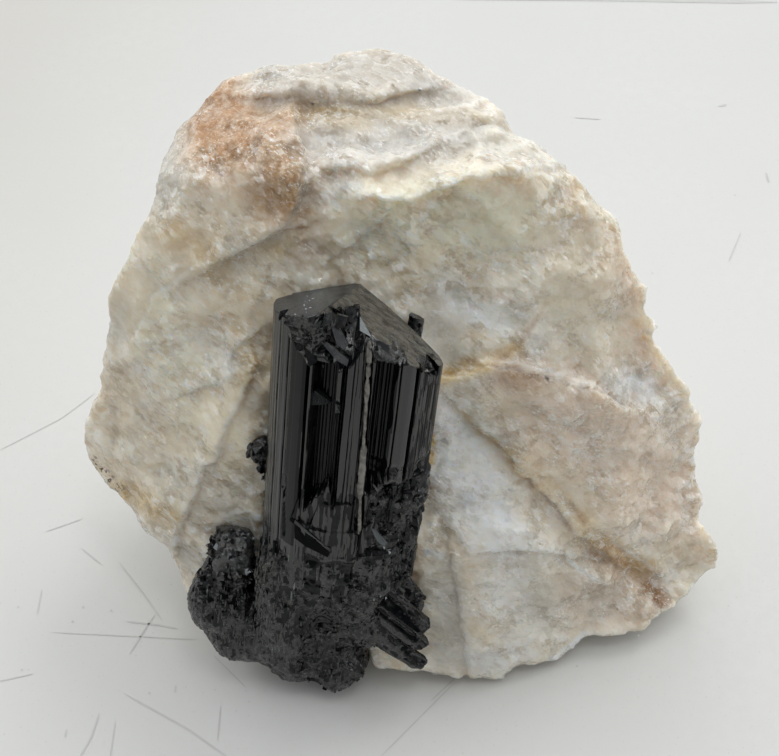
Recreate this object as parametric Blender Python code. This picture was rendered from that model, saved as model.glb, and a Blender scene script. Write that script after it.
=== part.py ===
"""A black tourmaline crystal grown in a broken block of milky quartz, which stands on its flat underside.

Two frames carry the design, both with x to the right and z out of the block:
the face frame lies on the block's broad leaning face, and the crystal frame has y along the crystal.
Lengths in the lists are millimetres. +Z is up, and the origin is under the middle of the block.
"""

import math
import random

import bmesh
import bpy
from mathutils import Matrix, Vector, geometry, noise

MM = 0.001

# The block of quartz
FACE_CENTRE = Vector((-3.65, -7.2, 77.0))
FACE_LEAN = math.radians(40)
BACK_REACH = 48.0
# The hidden side's grid goes past the base and the back, and both are then cut off flat.
CUT_ALLOWANCE = 8.0
EDGE_ROUNDING = 34.0
BACK_GRID = 11.0
BACK_ROWS = range(-7, 8)
RIM_MARGIN = 4.0
LONGEST_EDGE = 8.0
ROUGHNESS = 1.4
ROUGHNESS_SIZE = 9.0

# The crystal
CRYSTAL_ROOT = Vector((-15.3, -34.5, -10.3))
CRYSTAL_LEAN = math.radians(36)
CRYSTAL_ROLL = math.radians(-6.7)
APEX = Vector((-0.4, 60.6, 0.0))
PYRAMID_SLOPES = ((-137, 24.1), (98, 27.6))
CLEARANCE = 0.35

# The block's outline, clockwise from its left side: right, up and out on the broad face
OUTLINE = (
    (-58.5, 16.5, -5.0), (-54.0, 23.5, 1.5), (-50.0, 29.5, 5.0), (-46.5, 35.0, 7.0),
    (-45.5, 40.0, 6.0), (-45.0, 45.0, 3.5), (-44.0, 51.0, 1.0), (-42.0, 54.5, 0.0),
    (-38.5, 55.5, 2.0), (-34.5, 60.0, 1.0), (-28.0, 62.0, 3.0), (-22.0, 63.5, 4.5),
    (-16.5, 64.5, 6.0), (-8.0, 66.0, 6.5), (0.0, 65.5, 7.0), (6.0, 63.5, 8.0),
    (9.5, 60.0, 9.5), (13.5, 58.5, 10.0), (19.0, 56.5, 10.0), (22.0, 53.5, 10.5),
    (24.5, 48.5, 12.0), (30.0, 45.5, 12.0), (34.0, 42.0, 12.0), (38.5, 38.5, 11.0),
    (45.0, 30.5, 7.0), (50.0, 24.0, 2.0), (54.0, 17.5, -3.0), (53.5, 14.5, -4.5),
    (57.5, 11.0, -8.0), (56.5, 8.0, -9.5), (62.5, 1.5, -16.0), (66.5, -4.0, -21.0),
    (69.5, -9.5, -26.0), (70.0, -17.0, -30.0), (73.0, -27.0, -35.0), (73.0, -32.0, -38.0),
    (77.5, -41.0, -42.0), (77.5, -44.5, -43.5), (73.0, -51.0, -44.5), (66.0, -56.0, -44.0),
    (59.5, -62.0, -43.0), (55.5, -61.0, -42.0), (46.5, -61.5, -40.5), (39.5, -68.0, -40.0),
    (30.5, -69.0, -38.0), (24.5, -72.0, -38.5), (19.5, -71.5, -37.5), (11.5, -70.0, -36.0),
    (2.5, -67.5, -34.5), (-4.0, -68.0, -34.5), (-14.0, -68.0, -35.0), (-25.5, -66.0, -35.5),
    (-37.0, -61.5, -36.0), (-46.0, -52.5, -35.0), (-49.5, -45.5, -33.0), (-51.0, -38.0, -30.0),
    (-55.0, -35.0, -30.5), (-60.0, -29.5, -31.0), (-66.0, -24.5, -32.0), (-69.5, -20.5, -32.0),
    (-70.5, -14.0, -30.0), (-67.0, -7.5, -24.5), (-64.0, -2.5, -19.5), (-61.5, 6.0, -13.0),
)

# Steps broken into the face. Each line is the step's upper edge, and its foot lies beside it:
# (shift of the foot right and up, drop to the foot, the points of the edge)
LEDGES = {
    "mound_cliff": ((1.3, 0.0), 4.0, (
        (-18.5, 52.0, 16.0), (-17.5, 48.5, 18.0), (-16.0, 43.0, 21.5), (-15.5, 37.0, 24.5),
        (-17.5, 32.5, 22.0))),
    "top_slab": ((0.0, -1.2), 2.6, (
        (-25.0, 56.0, 10.5), (-17.5, 55.5, 13.0), (-9.5, 54.0, 15.0), (-4.0, 54.0, 15.5),
        (4.0, 55.5, 14.5), (12.5, 56.5, 12.5))),
    "second_slab": ((0.0, -1.2), 1.8, (
        (-14.0, 48.5, 16.5), (-7.5, 46.0, 18.5), (-0.5, 47.0, 18.0), (10.0, 50.5, 15.5),
        (20.0, 51.0, 13.0))),
    "white_slab": ((0.0, -1.2), 2.4, (
        (-12.0, 40.0, 22.0), (-4.0, 38.5, 23.5), (2.0, 41.0, 22.0), (10.5, 45.0, 19.5),
        (21.5, 47.0, 15.5))),
    "shoulder_step": ((0.5, -1.2), 2.2, (
        (-44.0, 18.5, 6.5), (-38.0, 21.0, 10.5), (-29.5, 24.5, 15.0), (-22.5, 27.5, 18.0))),
    "left_step": ((0.0, -1.2), 1.8, (
        (-43.5, -3.0, -5.5), (-35.5, -0.5, -1.5))),
    "block_arc": ((0.0, 1.3), 2.6, (
        (11.0, -0.5, 5.0), (19.5, 2.0, 5.5), (29.5, 1.0, 3.5), (42.0, -2.5, -2.5),
        (49.5, -6.5, -8.0), (60.0, -5.0, -15.0))),
    "yellow_crack": ((-0.9, -0.9), 1.8, (
        (16.5, -7.5, -2.5), (25.5, -16.0, -8.0), (33.0, -25.5, -15.0), (43.0, -36.5, -24.5),
        (54.0, -42.0, -33.0), (64.0, -47.0, -41.0))),
}

# Crests that two facets of the face meet in
CRESTS = {
    "left_flank": (
        (-38.0, 52.5, 6.0), (-38.5, 46.5, 11.0), (-39.5, 39.0, 15.5), (-42.5, 31.5, 13.0),
        (-46.0, 23.5, 8.0), (-51.5, 15.0, 1.0), (-56.0, 5.0, -7.5)),
    "main_ridge": (
        (-4.0, 34.0, 23.5), (4.0, 33.0, 23.0), (10.5, 36.0, 24.0), (17.0, 38.0, 24.5),
        (24.0, 39.0, 22.0), (31.5, 39.5, 18.0)),
    "right_rim": ((38.0, 32.0, 14.0), (42.5, 26.0, 9.5), (42.0, 20.0, 7.5)),
    "curved_ridge": (
        (-31.0, -5.0, -0.5), (-31.5, -9.5, -3.0), (-36.0, -16.0, -7.5), (-41.0, -22.5, -13.0),
        (-45.0, -31.0, -19.5)),
    "wedge": ((12.0, -11.0, -3.5), (22.0, -18.5, -9.5), (29.0, -28.0, -15.5), (35.5, -38.5, -22.0)),
    "low_edge": ((11.0, -39.0, -15.5), (22.5, -38.5, -16.5), (33.0, -39.0, -20.0)),
    "low_rib": ((13.5, -42.0, -19.0), (16.0, -51.0, -25.0), (17.5, -63.0, -31.5)),
    "scar": ((41.0, -41.5, -26.0), (45.0, -46.0, -30.0), (54.0, -49.0, -36.5)),
}

# Single points of the face between the ledges and crests
FACE_POINTS = (
    (-30.0, 54.0, 9.5), (-28.0, 46.0, 17.5), (-24.0, 49.0, 17.0), (-31.0, 37.0, 18.5),
    (-24.0, 38.0, 21.5), (-27.0, 31.5, 17.0), (-35.0, 28.5, 12.5), (-35.0, 14.0, 5.0),
    (-47.0, 10.0, -1.0), (-56.0, -4.0, -14.5), (-47.5, -9.0, -12.0), (-57.5, -15.0, -21.0),
    (-53.5, -24.5, -23.0), (-30.0, 15.5, 8.0), (-29.5, 6.5, 2.5), (-40.0, 4.0, -2.0),
    (-21.5, 18.0, 11.0), (-11.5, 29.0, 18.5), (6.0, 24.5, 15.0), (20.0, 30.0, 18.0),
    (33.0, 31.0, 14.5), (28.0, 22.0, 11.5), (14.0, 16.0, 9.0), (24.0, 11.0, 5.5),
    (38.5, 13.0, 3.5), (47.5, 11.0, -3.0), (49.0, 2.0, -9.0), (60.0, 1.5, -15.0),
    (35.0, 5.5, 0.5), (5.0, 10.0, 7.5), (31.5, -7.0, -3.5), (45.5, -15.0, -13.0),
    (57.5, -15.0, -20.5), (63.0, -11.0, -22.5), (61.0, -28.0, -29.0), (67.0, -38.0, -36.5),
    (49.0, -29.0, -21.0), (19.5, -27.0, -13.5), (6.0, -17.0, -7.5), (0.0, -30.0, -15.0),
    (26.0, -53.0, -28.0), (35.0, -56.0, -33.0), (50.0, -56.0, -38.5), (29.0, -45.0, -22.5),
    (5.0, -48.0, -24.0), (9.0, -60.0, -30.5), (-8.0, -55.0, -28.0), (-25.0, -52.0, -28.0),
    (-37.0, -45.0, -27.0), (-30.0, -35.0, -20.5), (-20.0, -20.0, -10.0), (-12.0, 5.5, 4.5),
    (-15.0, 60.0, 9.5), (-4.0, 60.5, 10.5), (-30.0, -15.0, -7.5), (-50.0, -32.0, -26.0),
    (4.0, 50.5, 15.5), (-7.0, 50.0, 16.0), (4.0, 44.0, 20.5), (-8.0, 43.0, 20.5),
    (16.0, 43.5, 20.0), (26.5, 43.0, 17.0), (-7.0, 36.0, 21.0), (5.0, 37.5, 21.5),
    (38.0, -51.0, -31.0), (-44.0, 39.5, 8.5), (-14.0, 14.0, 9.0), (62.0, -54.0, -41.5),
    (55.5, 11.2, -6.3),
)

# Flat breaks on the hidden side of the block: (compass angle from +x, angle up, reach from its centre)
BREAKS = (
    (90, 0, 43.5), (62, 10, 51.0), (40, 20, 56.0), (112, -4, 51.0), (108, -30, 60.0),
    (58, -34, 62.0), (70, -15, 54.0), (150, -30, 66.0), (160, -50, 62.0), (90, -60, 62.0),
    (30, -30, 73.0), (90, 30, 70.5),
)
BREAKS_CENTRE = Vector((-0.15, -2.6, 58.0))

# The prism across its length: (across, out), anticlockwise seen from its tip. The ribs are its steps.
PRISM_RIBS = (
    (20.6, 1.5), (18.0, 4.4), (16.0, 5.4), (15.6, 5.0), (15.2, 6.3), (11.8, 7.7), (11.4, 7.0),
    (8.8, 7.7), (5.8, 8.9), (4.2, 9.1), (4.0, 8.6), (2.0, 9.0), (0.2, 8.9), (-2.0, 8.6), (-4.6, 7.9),
    (-4.9, 7.4), (-7.6, 5.9), (-8.1, 5.1), (-9.6, 3.9), (-10.1, 3.0), (-11.2, 1.5), (-11.9, -1.5),
    (-12.4, -5.0), (-12.3, -8.0), (-9.5, -10.8), (-1.0, -11.8), (3.0, -11.6), (9.0, -9.2), (13.5, -6.6),
    (17.6, -3.8), (20.4, -1.6), (21.0, 0.2),
)
PRISM_FOOT = -6.0
PRISM_TIP = 66.0
# The front of the foot is broken off on a slant, where the lumps begin.
FOOT_BREAK = Vector((0.0, 2.0, 8.5))
FOOT_BREAK_SLOPE = math.radians(50)

# Pieces missing from the prism. Broken hollows: middle (across, along, out), half sizes, seed
CHIPS = (
    ((-4.8, 59.0, 9.8), (4.0, 6.4, 6.6), 1),
    ((0.5, 58.5, 10.6), (4.6, 7.6, 7.8), 2),
    ((5.6, 58.0, 10.8), (3.4, 5.4, 6.0), 3),
    ((10.8, 57.0, 10.8), (3.4, 3.6, 4.6), 4),
)
# Flat-sided hollows: middle, half sizes, turn about the outward axis
HOLLOWS = (
    ((-1.4, 37.0, 9.0), (2.8, 15.5, 3.6), 0),
    ((9.4, 39.0, 9.8), (1.6, 15.0, 3.6), 0),
    ((17.0, 8.0, 9.5), (6.1, 17.0, 5.5), -4),
    ((23.6, 4.5, 0.0), (6.0, 15.0, 25.0), -14),
    ((23.4, 51.8, 0.0), (5.0, 9.0, 25.0), 32),
)
SHELF = ((-1.3, 41.5, 5.2), (2.7, 1.9, 1.7), 51)
NOTCH = ((2.0, 12.5, 9.5), (4.4, 1.9, 2.6), -32)

# The thin seam of quartz in the crack, which runs down the front of the prism
SEAM = ((6.4, 57.5), (7.0, 47.0), (7.3, 38.0), (7.9, 26.0), (8.2, 17.0), (8.8, 8.0))
SEAM_WIDTH = 0.9
SEAM_OUT = 8.6
SEAM_DEPTH = 3.0

# Broken tourmaline round the foot: middle (across, along, out), half sizes, seed
LUMPS = (
    ((-5.0, -13.5, 0.3), (8.6, 26.5, 8.8), 11),
    ((-18.8, -12.0, -3.5), (6.0, 9.4, 5.8), 12),
    ((-19.9, -24.4, -3.0), (9.0, 13.0, 7.6), 13),
    ((-14.5, -33.0, -3.0), (9.8, 9.6, 7.6), 14),
    ((6.6, -9.5, -0.5), (10.6, 15.5, 9.2), 15),
    ((-2.5, -35.5, -2.0), (10.2, 9.8, 7.6), 16),
    ((6.8, -37.0, -1.5), (7.6, 10.0, 6.8), 17),
    ((12.0, -22.0, -2.0), (8.4, 10.0, 6.6), 18),
    ((14.0, 7.5, -0.5), (5.2, 11.5, 6.4), 19),
    ((17.3, 18.0, -1.0), (4.6, 8.4, 5.4), 20),
    ((2.5, -26.5, -2.0), (9.0, 9.5, 7.0), 21),
    ((-9.5, -30.0, -3.0), (8.0, 9.5, 6.4), 22),
)

# Short crystals that slant out of the foot: root and tip (across, along, out), thickness
SPRIGS = (
    ((10.0, -8.0, 1.0), (25.6, -20.0, 2.0), 5.2),
    ((9.0, -14.0, 1.5), (25.4, -26.5, 2.5), 5.6),
    ((8.0, -21.5, 1.0), (26.8, -34.5, 1.5), 5.2),
    ((14.0, 3.0, -1.0), (20.0, -2.0, 1.0), 2.2),
)

# Small plates on the left edge of the prism: middle (across, along, out), half sizes, seed
PLATES = (
    ((-13.0, 17.5, -6.0), (2.6, 3.6, 2.6), 31),
    ((-12.4, 12.0, -6.0), (1.9, 3.4, 2.2), 32),
    ((-11.8, 7.0, -6.0), (1.7, 2.6, 2.2), 33),
)

# The separate crystal behind the right shoulder: foot, tip and thickness
NEEDLE = ((15.0, 41.0, -10.4), (15.1, 53.6, -10.2), 3.2)

# The lone grain: middle on the face (right, up, out), half sizes, seed
GRAIN = ((1.4, -44.6, -20.3), (1.0, 1.1, 1.6), 41)

# A lump has this many points, each within these shares of its half sizes from its middle.
LUMP_POINTS = 34
LUMP_REACH = (0.84, 1.04)

# A slanting crystal is six-sided and flattened, and narrows a little to its low point.
SPRIG_FLATNESS = 0.8
SPRIG_TAPER = ((0.0, 1.0), (0.9, 0.94))


def clear_scene():
    for obj in list(bpy.data.objects):
        bpy.data.objects.remove(obj, do_unlink=True)
    for mesh in list(bpy.data.meshes):
        bpy.data.meshes.remove(mesh)


def material(name, colour, roughness, transmission=0.0):
    made = bpy.data.materials.new(name)
    made.use_nodes = True
    shader = made.node_tree.nodes["Principled BSDF"]
    shader.inputs["Base Color"].default_value = (*colour, 1.0)
    shader.inputs["Roughness"].default_value = roughness
    shader.inputs["Metallic"].default_value = 0.0
    shader.inputs["Transmission Weight"].default_value = transmission
    made.diffuse_color = (*colour, 1.0)
    return made


def empty(name, parent, location, rotation):
    made = bpy.data.objects.new(name, None)
    bpy.context.scene.collection.objects.link(made)
    made.parent = parent
    made.location = location
    made.rotation_euler = rotation
    return made


def mesh_object(name, bm, parent):
    """The bmesh, which is in millimetres, as an object in metres under the parent frame."""
    bmesh.ops.scale(bm, vec=(MM, MM, MM), verts=bm.verts)
    bmesh.ops.recalc_face_normals(bm, faces=bm.faces)
    mesh = bpy.data.meshes.new(name)
    bm.to_mesh(mesh)
    bm.free()
    made = bpy.data.objects.new(name, mesh)
    bpy.context.scene.collection.objects.link(made)
    made.parent = parent
    return made


def combine(body, tools, operation):
    """Joins the tools to the body or cuts them from it, one exact Boolean each, and removes them."""
    for tool in tools:
        tool.hide_render = True
        tool.display_type = "WIRE"
        step = body.modifiers.new("step", "BOOLEAN")
        step.operation = operation
        step.solver = "EXACT"
        step.object = tool
        bpy.context.view_layer.update()
        shaped = body.evaluated_get(bpy.context.evaluated_depsgraph_get())
        mesh = bpy.data.meshes.new_from_object(shaped)
        body.modifiers.remove(step)
        body.data = mesh
        bpy.data.objects.remove(tool, do_unlink=True)
    return body


def finish(body, name, look):
    """Cleans what the Booleans leave, and gives the piece its name and its material."""
    bm = bmesh.new()
    bm.from_mesh(body.data)
    bmesh.ops.remove_doubles(bm, verts=bm.verts, dist=0.02 * MM)
    bmesh.ops.dissolve_degenerate(bm, edges=bm.edges, dist=0.01 * MM)
    bmesh.ops.triangulate(bm, faces=bm.faces)
    bm.to_mesh(body.data)
    bm.free()
    body.name = name
    body.data.name = name
    body.data.materials.clear()
    body.data.materials.append(look)
    return body


def grow(bm, clearance):
    """Moves every face of a convex shape outwards by the clearance."""
    bm.normal_update()
    moves = [vert.normal * vert.calc_shell_factor() * clearance for vert in bm.verts]
    for vert, move in zip(bm.verts, moves):
        vert.co += move


# ---------------------------------------------------------------- quartz


def ring_edges(count):
    return [(i, (i + 1) % count) for i in range(count)]


def front_layout():
    """Points of the broad face, with the edges that its ledges and crests need."""
    points = [Vector(p) for p in OUTLINE]
    edges = ring_edges(len(points))

    def add_line(line):
        start = len(points)
        points.extend(line)
        edges.extend((i, i + 1) for i in range(start, len(points) - 1))

    for shift, drop, edge in LEDGES.values():
        add_line([Vector(p) for p in edge])
        add_line([Vector(p) + Vector((*shift, -drop)) for p in edge])
    for crest in CRESTS.values():
        add_line([Vector(p) for p in crest])
    points.extend(Vector(p) for p in FACE_POINTS)
    return points, edges


def nearest_on_outline(right, up):
    """How far a point of the face is from the outline, and how far out the outline is there."""
    here = Vector((right, up))
    best = (math.inf, 0.0)
    for i, j in ring_edges(len(OUTLINE)):
        a = Vector(OUTLINE[i])
        b = Vector(OUTLINE[j])
        along = (b - a).to_2d()
        share = (here - a.to_2d()).dot(along) / along.length_squared
        share = min(1.0, max(0.0, share))
        gap = (here - a.to_2d() - along * share).length
        best = min(best, (gap, a.z + (b.z - a.z) * share))
    return best


def inside_outline(right, up):
    odd = False
    for i, j in ring_edges(len(OUTLINE)):
        (x0, y0, _), (x1, y1, _) = OUTLINE[i], OUTLINE[j]
        if (y0 > up) != (y1 > up) and right < x0 + (up - y0) * (x1 - x0) / (y1 - y0):
            odd = not odd
    return odd


def back_layout():
    """A grid of points for the hidden side, rounded in from the outline towards the base and the back."""
    points = [Vector(p) for p in OUTLINE]
    row_height = BACK_GRID * math.sqrt(0.75)
    for row in BACK_ROWS:
        for column in BACK_ROWS:
            right = (column + 0.5 * (row % 2)) * BACK_GRID
            up = row * row_height
            gap, rim_out = nearest_on_outline(right, up)
            if gap < RIM_MARGIN or not inside_outline(right, up):
                continue
            below = -(FACE_CENTRE.z + up * math.sin(FACE_LEAN)) / math.cos(FACE_LEAN)
            behind = -(BACK_REACH - up * math.cos(FACE_LEAN)) / math.sin(FACE_LEAN)
            depth = max(below, behind) - CUT_ALLOWANCE
            bulge = math.sqrt(1 - (1 - min(1.0, gap / EDGE_ROUNDING)) ** 2)
            points.append(Vector((right, up, rim_out + (depth - rim_out) * bulge)))
    return points, ring_edges(len(OUTLINE))


def add_sheet(bm, rim_verts, points, edges):
    """Triangulates one side of the block between its outline and its points."""
    flat = [p.to_2d() for p in points]
    _, _, faces, sources, _, _ = geometry.delaunay_2d_cdt(flat, edges, [], 1, 1e-5)
    verts = list(rim_verts)
    for point in points[len(rim_verts):]:
        verts.append(bm.verts.new(point))
    origin = [source[0] for source in sources]
    for face in faces:
        bm.faces.new([verts[origin[i]] for i in face])


def cut_flat(bm, point, normal):
    """Takes off what is beyond a plane, and closes the cut."""
    geom = bm.verts[:] + bm.edges[:] + bm.faces[:]
    cut = bmesh.ops.bisect_plane(bm, geom=geom, plane_co=point, plane_no=normal, clear_outer=True)
    rim = [e for e in cut["geom_cut"] if isinstance(e, bmesh.types.BMEdge)]
    bmesh.ops.edgeloop_fill(bm, edges=rim)


def roughen(bm, fixed_below):
    """Splits the long edges and gives the broken surface its uneven grain, but not to the base."""
    for _ in range(5):
        bmesh.ops.triangulate(bm, faces=bm.faces)
        long_edges = [e for e in bm.edges if e.calc_length() > LONGEST_EDGE]
        if not long_edges:
            break
        bmesh.ops.subdivide_edges(bm, edges=long_edges, cuts=1)
    bmesh.ops.triangulate(bm, faces=bm.faces)
    bm.normal_update()
    for vert in bm.verts:
        if not fixed_below(vert.co):
            place = vert.co / ROUGHNESS_SIZE
            vert.co += vert.normal * noise.noise(place) * ROUGHNESS


def build_quartz(face, look):
    bm = bmesh.new()
    rim = [bm.verts.new(p) for p in OUTLINE]
    add_sheet(bm, rim, *front_layout())
    add_sheet(bm, rim, *back_layout())
    bmesh.ops.recalc_face_normals(bm, faces=bm.faces)
    to_face = Matrix.Rotation(-FACE_LEAN, 3, "X")
    for turn, rise, reach in BREAKS:
        turn = math.radians(turn)
        rise = math.radians(rise)
        level = math.cos(rise)
        normal = Vector((level * math.cos(turn), level * math.sin(turn), math.sin(rise)))
        point = BREAKS_CENTRE + normal * reach
        cut_flat(bm, to_face @ (point - FACE_CENTRE), to_face @ normal)
    down = to_face @ Vector((0, 0, -1))
    on_base = to_face @ Vector((0, 0, -FACE_CENTRE.z))
    cut_flat(bm, on_base, down)
    roughen(bm, lambda co: (co - on_base).dot(down) > -0.5)
    quartz = mesh_object("quartz_matrix", bm, face)
    quartz.data.materials.append(look)
    return quartz


# ---------------------------------------------------------------- tourmaline


def prism_body(name, ribs, axis, clearance=0.0):
    """A length of the ribbed prism, from its foot to past its tip."""
    bm = bmesh.new()
    ring = [bm.verts.new((across, PRISM_FOOT, out)) for across, out in ribs]
    base = bm.faces.new(ring)
    made = bmesh.ops.extrude_face_region(bm, geom=[base])
    top = [v for v in made["geom"] if isinstance(v, bmesh.types.BMVert)]
    bmesh.ops.translate(bm, verts=top, vec=(0, PRISM_TIP - PRISM_FOOT, 0))
    bmesh.ops.recalc_face_normals(bm, faces=bm.faces)
    if clearance:
        grow(bm, clearance)
    down = Vector((0, -math.cos(FOOT_BREAK_SLOPE), math.sin(FOOT_BREAK_SLOPE)))
    cut_flat(bm, FOOT_BREAK + down * clearance, down)
    lift = Vector((0, clearance, 0))
    for turn, slope in PYRAMID_SLOPES:
        turn = math.radians(turn)
        slope = math.radians(slope)
        side = math.sin(slope)
        normal = Vector((side * math.sin(turn), math.cos(slope), side * math.cos(turn)))
        cut_flat(bm, APEX + lift * 2, normal)
    return mesh_object(name, bm, axis)


def widest_ribs():
    """The prism's outline without the dips between its ribs."""
    order = geometry.convex_hull_2d([Vector(rib) for rib in PRISM_RIBS])
    return [PRISM_RIBS[i] for i in order]


def lump(name, middle, half, seed, parent, clearance=0.0):
    """A broken lump: the hull of points scattered over an ellipsoid."""
    scatter = random.Random(seed)
    bm = bmesh.new()
    for i in range(LUMP_POINTS):
        height = 1 - 2 * (i + 0.5) / LUMP_POINTS
        turn = i * math.pi * (3 - math.sqrt(5)) + scatter.uniform(-0.3, 0.3)
        ring = math.sqrt(1 - height * height)
        reach = scatter.uniform(*LUMP_REACH)
        spot = Vector((ring * math.cos(turn), height, ring * math.sin(turn))) * reach
        bm.verts.new(Vector(middle) + spot * Vector(half))
    hull = bmesh.ops.convex_hull(bm, input=bm.verts)
    inner = [g for g in hull["geom_interior"] if isinstance(g, bmesh.types.BMVert)]
    bmesh.ops.delete(bm, geom=inner, context="VERTS")
    bmesh.ops.recalc_face_normals(bm, faces=bm.faces)
    if clearance:
        grow(bm, clearance)
    return mesh_object(name, bm, parent)


def block(name, middle, half, turn, parent):
    """A plain cutting block, turned in degrees about the outward axis."""
    bm = bmesh.new()
    bmesh.ops.create_cube(bm, size=2.0)
    bmesh.ops.scale(bm, vec=half, verts=bm.verts)
    bmesh.ops.rotate(bm, matrix=Matrix.Rotation(math.radians(turn), 3, "Z"), verts=bm.verts)
    bmesh.ops.translate(bm, vec=middle, verts=bm.verts)
    return mesh_object(name, bm, parent)


def sprig(name, root, tip, thickness, parent, clearance=0.0):
    """A small six-sided crystal with a low pointed end."""
    root = Vector(root)
    tip = Vector(tip)
    run = tip - root
    bm = bmesh.new()
    rings = []
    for along, width in SPRIG_TAPER:
        ring = []
        for side in range(6):
            turn = math.radians(60 * side + 15)
            side_out = math.sin(turn) * SPRIG_FLATNESS
            spot = Vector((math.cos(turn), side_out, 0)) * thickness / 2 * width
            ring.append(bm.verts.new(spot + Vector((0, 0, along * run.length))))
        rings.append(ring)
    peak = bm.verts.new((thickness * 0.1, 0, run.length))
    bm.faces.new(rings[0])
    for i, j in ring_edges(6):
        bm.faces.new((rings[0][i], rings[0][j], rings[1][j], rings[1][i]))
        bm.faces.new((rings[1][i], rings[1][j], peak))
    bmesh.ops.recalc_face_normals(bm, faces=bm.faces)
    if clearance:
        grow(bm, clearance)
    turn = run.to_track_quat("Z", "Y").to_matrix()
    bmesh.ops.rotate(bm, matrix=turn, verts=bm.verts)
    bmesh.ops.translate(bm, vec=root, verts=bm.verts)
    return mesh_object(name, bm, parent)


def foot_pieces(axis, clearance=0.0):
    """The lumps, slanting crystals and plates that the prism is grown together with."""
    lumps = [lump("lump", *size, axis, clearance) for size in LUMPS + PLATES]
    return lumps + [sprig("sprig", *size, axis, clearance) for size in SPRIGS]


def seam_strip(name, axis, side_gap, depth_gap, extra_out):
    """The strip along the crack, or the slot for it when the gaps are given."""
    bm = bmesh.new()
    half = SEAM_WIDTH / 2 + side_gap
    low = SEAM_OUT - SEAM_DEPTH - depth_gap
    high = SEAM_OUT + extra_out
    rings = []
    last = len(SEAM) - 1
    for i, (across, along) in enumerate(SEAM):
        along += depth_gap * ((i == 0) - (i == last))
        width = half * (0.75 if i in (0, last) and not side_gap else 1.0)
        corners = ((-width, low), (width, low), (width, high), (-width, high))
        rings.append([bm.verts.new((across + side, along, out)) for side, out in corners])
    for upper, lower in zip(rings, rings[1:]):
        for i, j in ring_edges(4):
            bm.faces.new((upper[i], upper[j], lower[j], lower[i]))
    bm.faces.new(rings[0])
    bm.faces.new(rings[-1])
    return mesh_object(name, bm, axis)


def build_tourmaline(axis, look):
    crystal = prism_body("tourmaline_crystal", PRISM_RIBS, axis)
    combine(crystal, [lump("chip", *chip, axis) for chip in CHIPS], "DIFFERENCE")
    combine(crystal, [block("hollow", *hollow, axis) for hollow in HOLLOWS], "DIFFERENCE")
    combine(crystal, [lump("shelf", *SHELF, axis), *foot_pieces(axis)], "UNION")
    combine(crystal, [block("notch", *NOTCH, axis)], "DIFFERENCE")
    combine(crystal, [seam_strip("slot", axis, 0.33, 0.35, 6.0)], "DIFFERENCE")
    return finish(crystal, "tourmaline_crystal", look)


def build_vein(axis, look):
    return finish(seam_strip("quartz_vein", axis, 0.0, 0.0, 0.0), "quartz_vein", look)


def build_needle(axis, look, clearance=0.0):
    needle = sprig("tourmaline_needle", *NEEDLE, axis, clearance)
    needle.data.materials.append(look)
    return needle


def build_grain(face, look, clearance=0.0):
    grain = lump("tourmaline_grain", *GRAIN, face, clearance)
    grain.data.materials.append(look)
    return grain


def main():
    clear_scene()
    quartz_look = material("milky_quartz", (0.66, 0.61, 0.55), 0.32, 0.2)
    vein_look = material("seam_quartz", (0.42, 0.41, 0.39), 0.4, 0.1)
    tourmaline_look = material("black_tourmaline", (0.012, 0.013, 0.014), 0.18)
    face = empty("face_frame", None, FACE_CENTRE * MM, (FACE_LEAN, 0, 0))
    axis = empty("crystal_frame", face, CRYSTAL_ROOT * MM, (CRYSTAL_LEAN, 0, CRYSTAL_ROLL))
    bpy.context.view_layer.update()

    quartz = build_quartz(face, quartz_look)
    pocket = [prism_body("pocket", widest_ribs(), axis, CLEARANCE)]
    pocket += foot_pieces(axis, CLEARANCE)
    pocket += [build_needle(axis, tourmaline_look, CLEARANCE), build_grain(face, tourmaline_look, CLEARANCE)]
    combine(quartz, pocket, "DIFFERENCE")
    finish(quartz, "quartz_matrix", quartz_look)

    build_tourmaline(axis, tourmaline_look)
    build_vein(axis, vein_look)
    build_needle(axis, tourmaline_look)
    build_grain(face, tourmaline_look)


main()
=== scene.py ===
"""A black tourmaline crystal grown in a broken block of milky quartz, on a pale table in soft daylight.

Two frames place the detail, as they place the solids: the face frame lies on the block's broad leaning
face (right, up, out), and the crystal frame follows the crystal (across, along, out). Both are in
millimetres. The pieces are made in them and end in metres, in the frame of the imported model.
"""

import math
from random import Random as Scatter

import bmesh
import bpy
import numpy as np
from mathutils import Euler, Matrix, Vector


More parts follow.
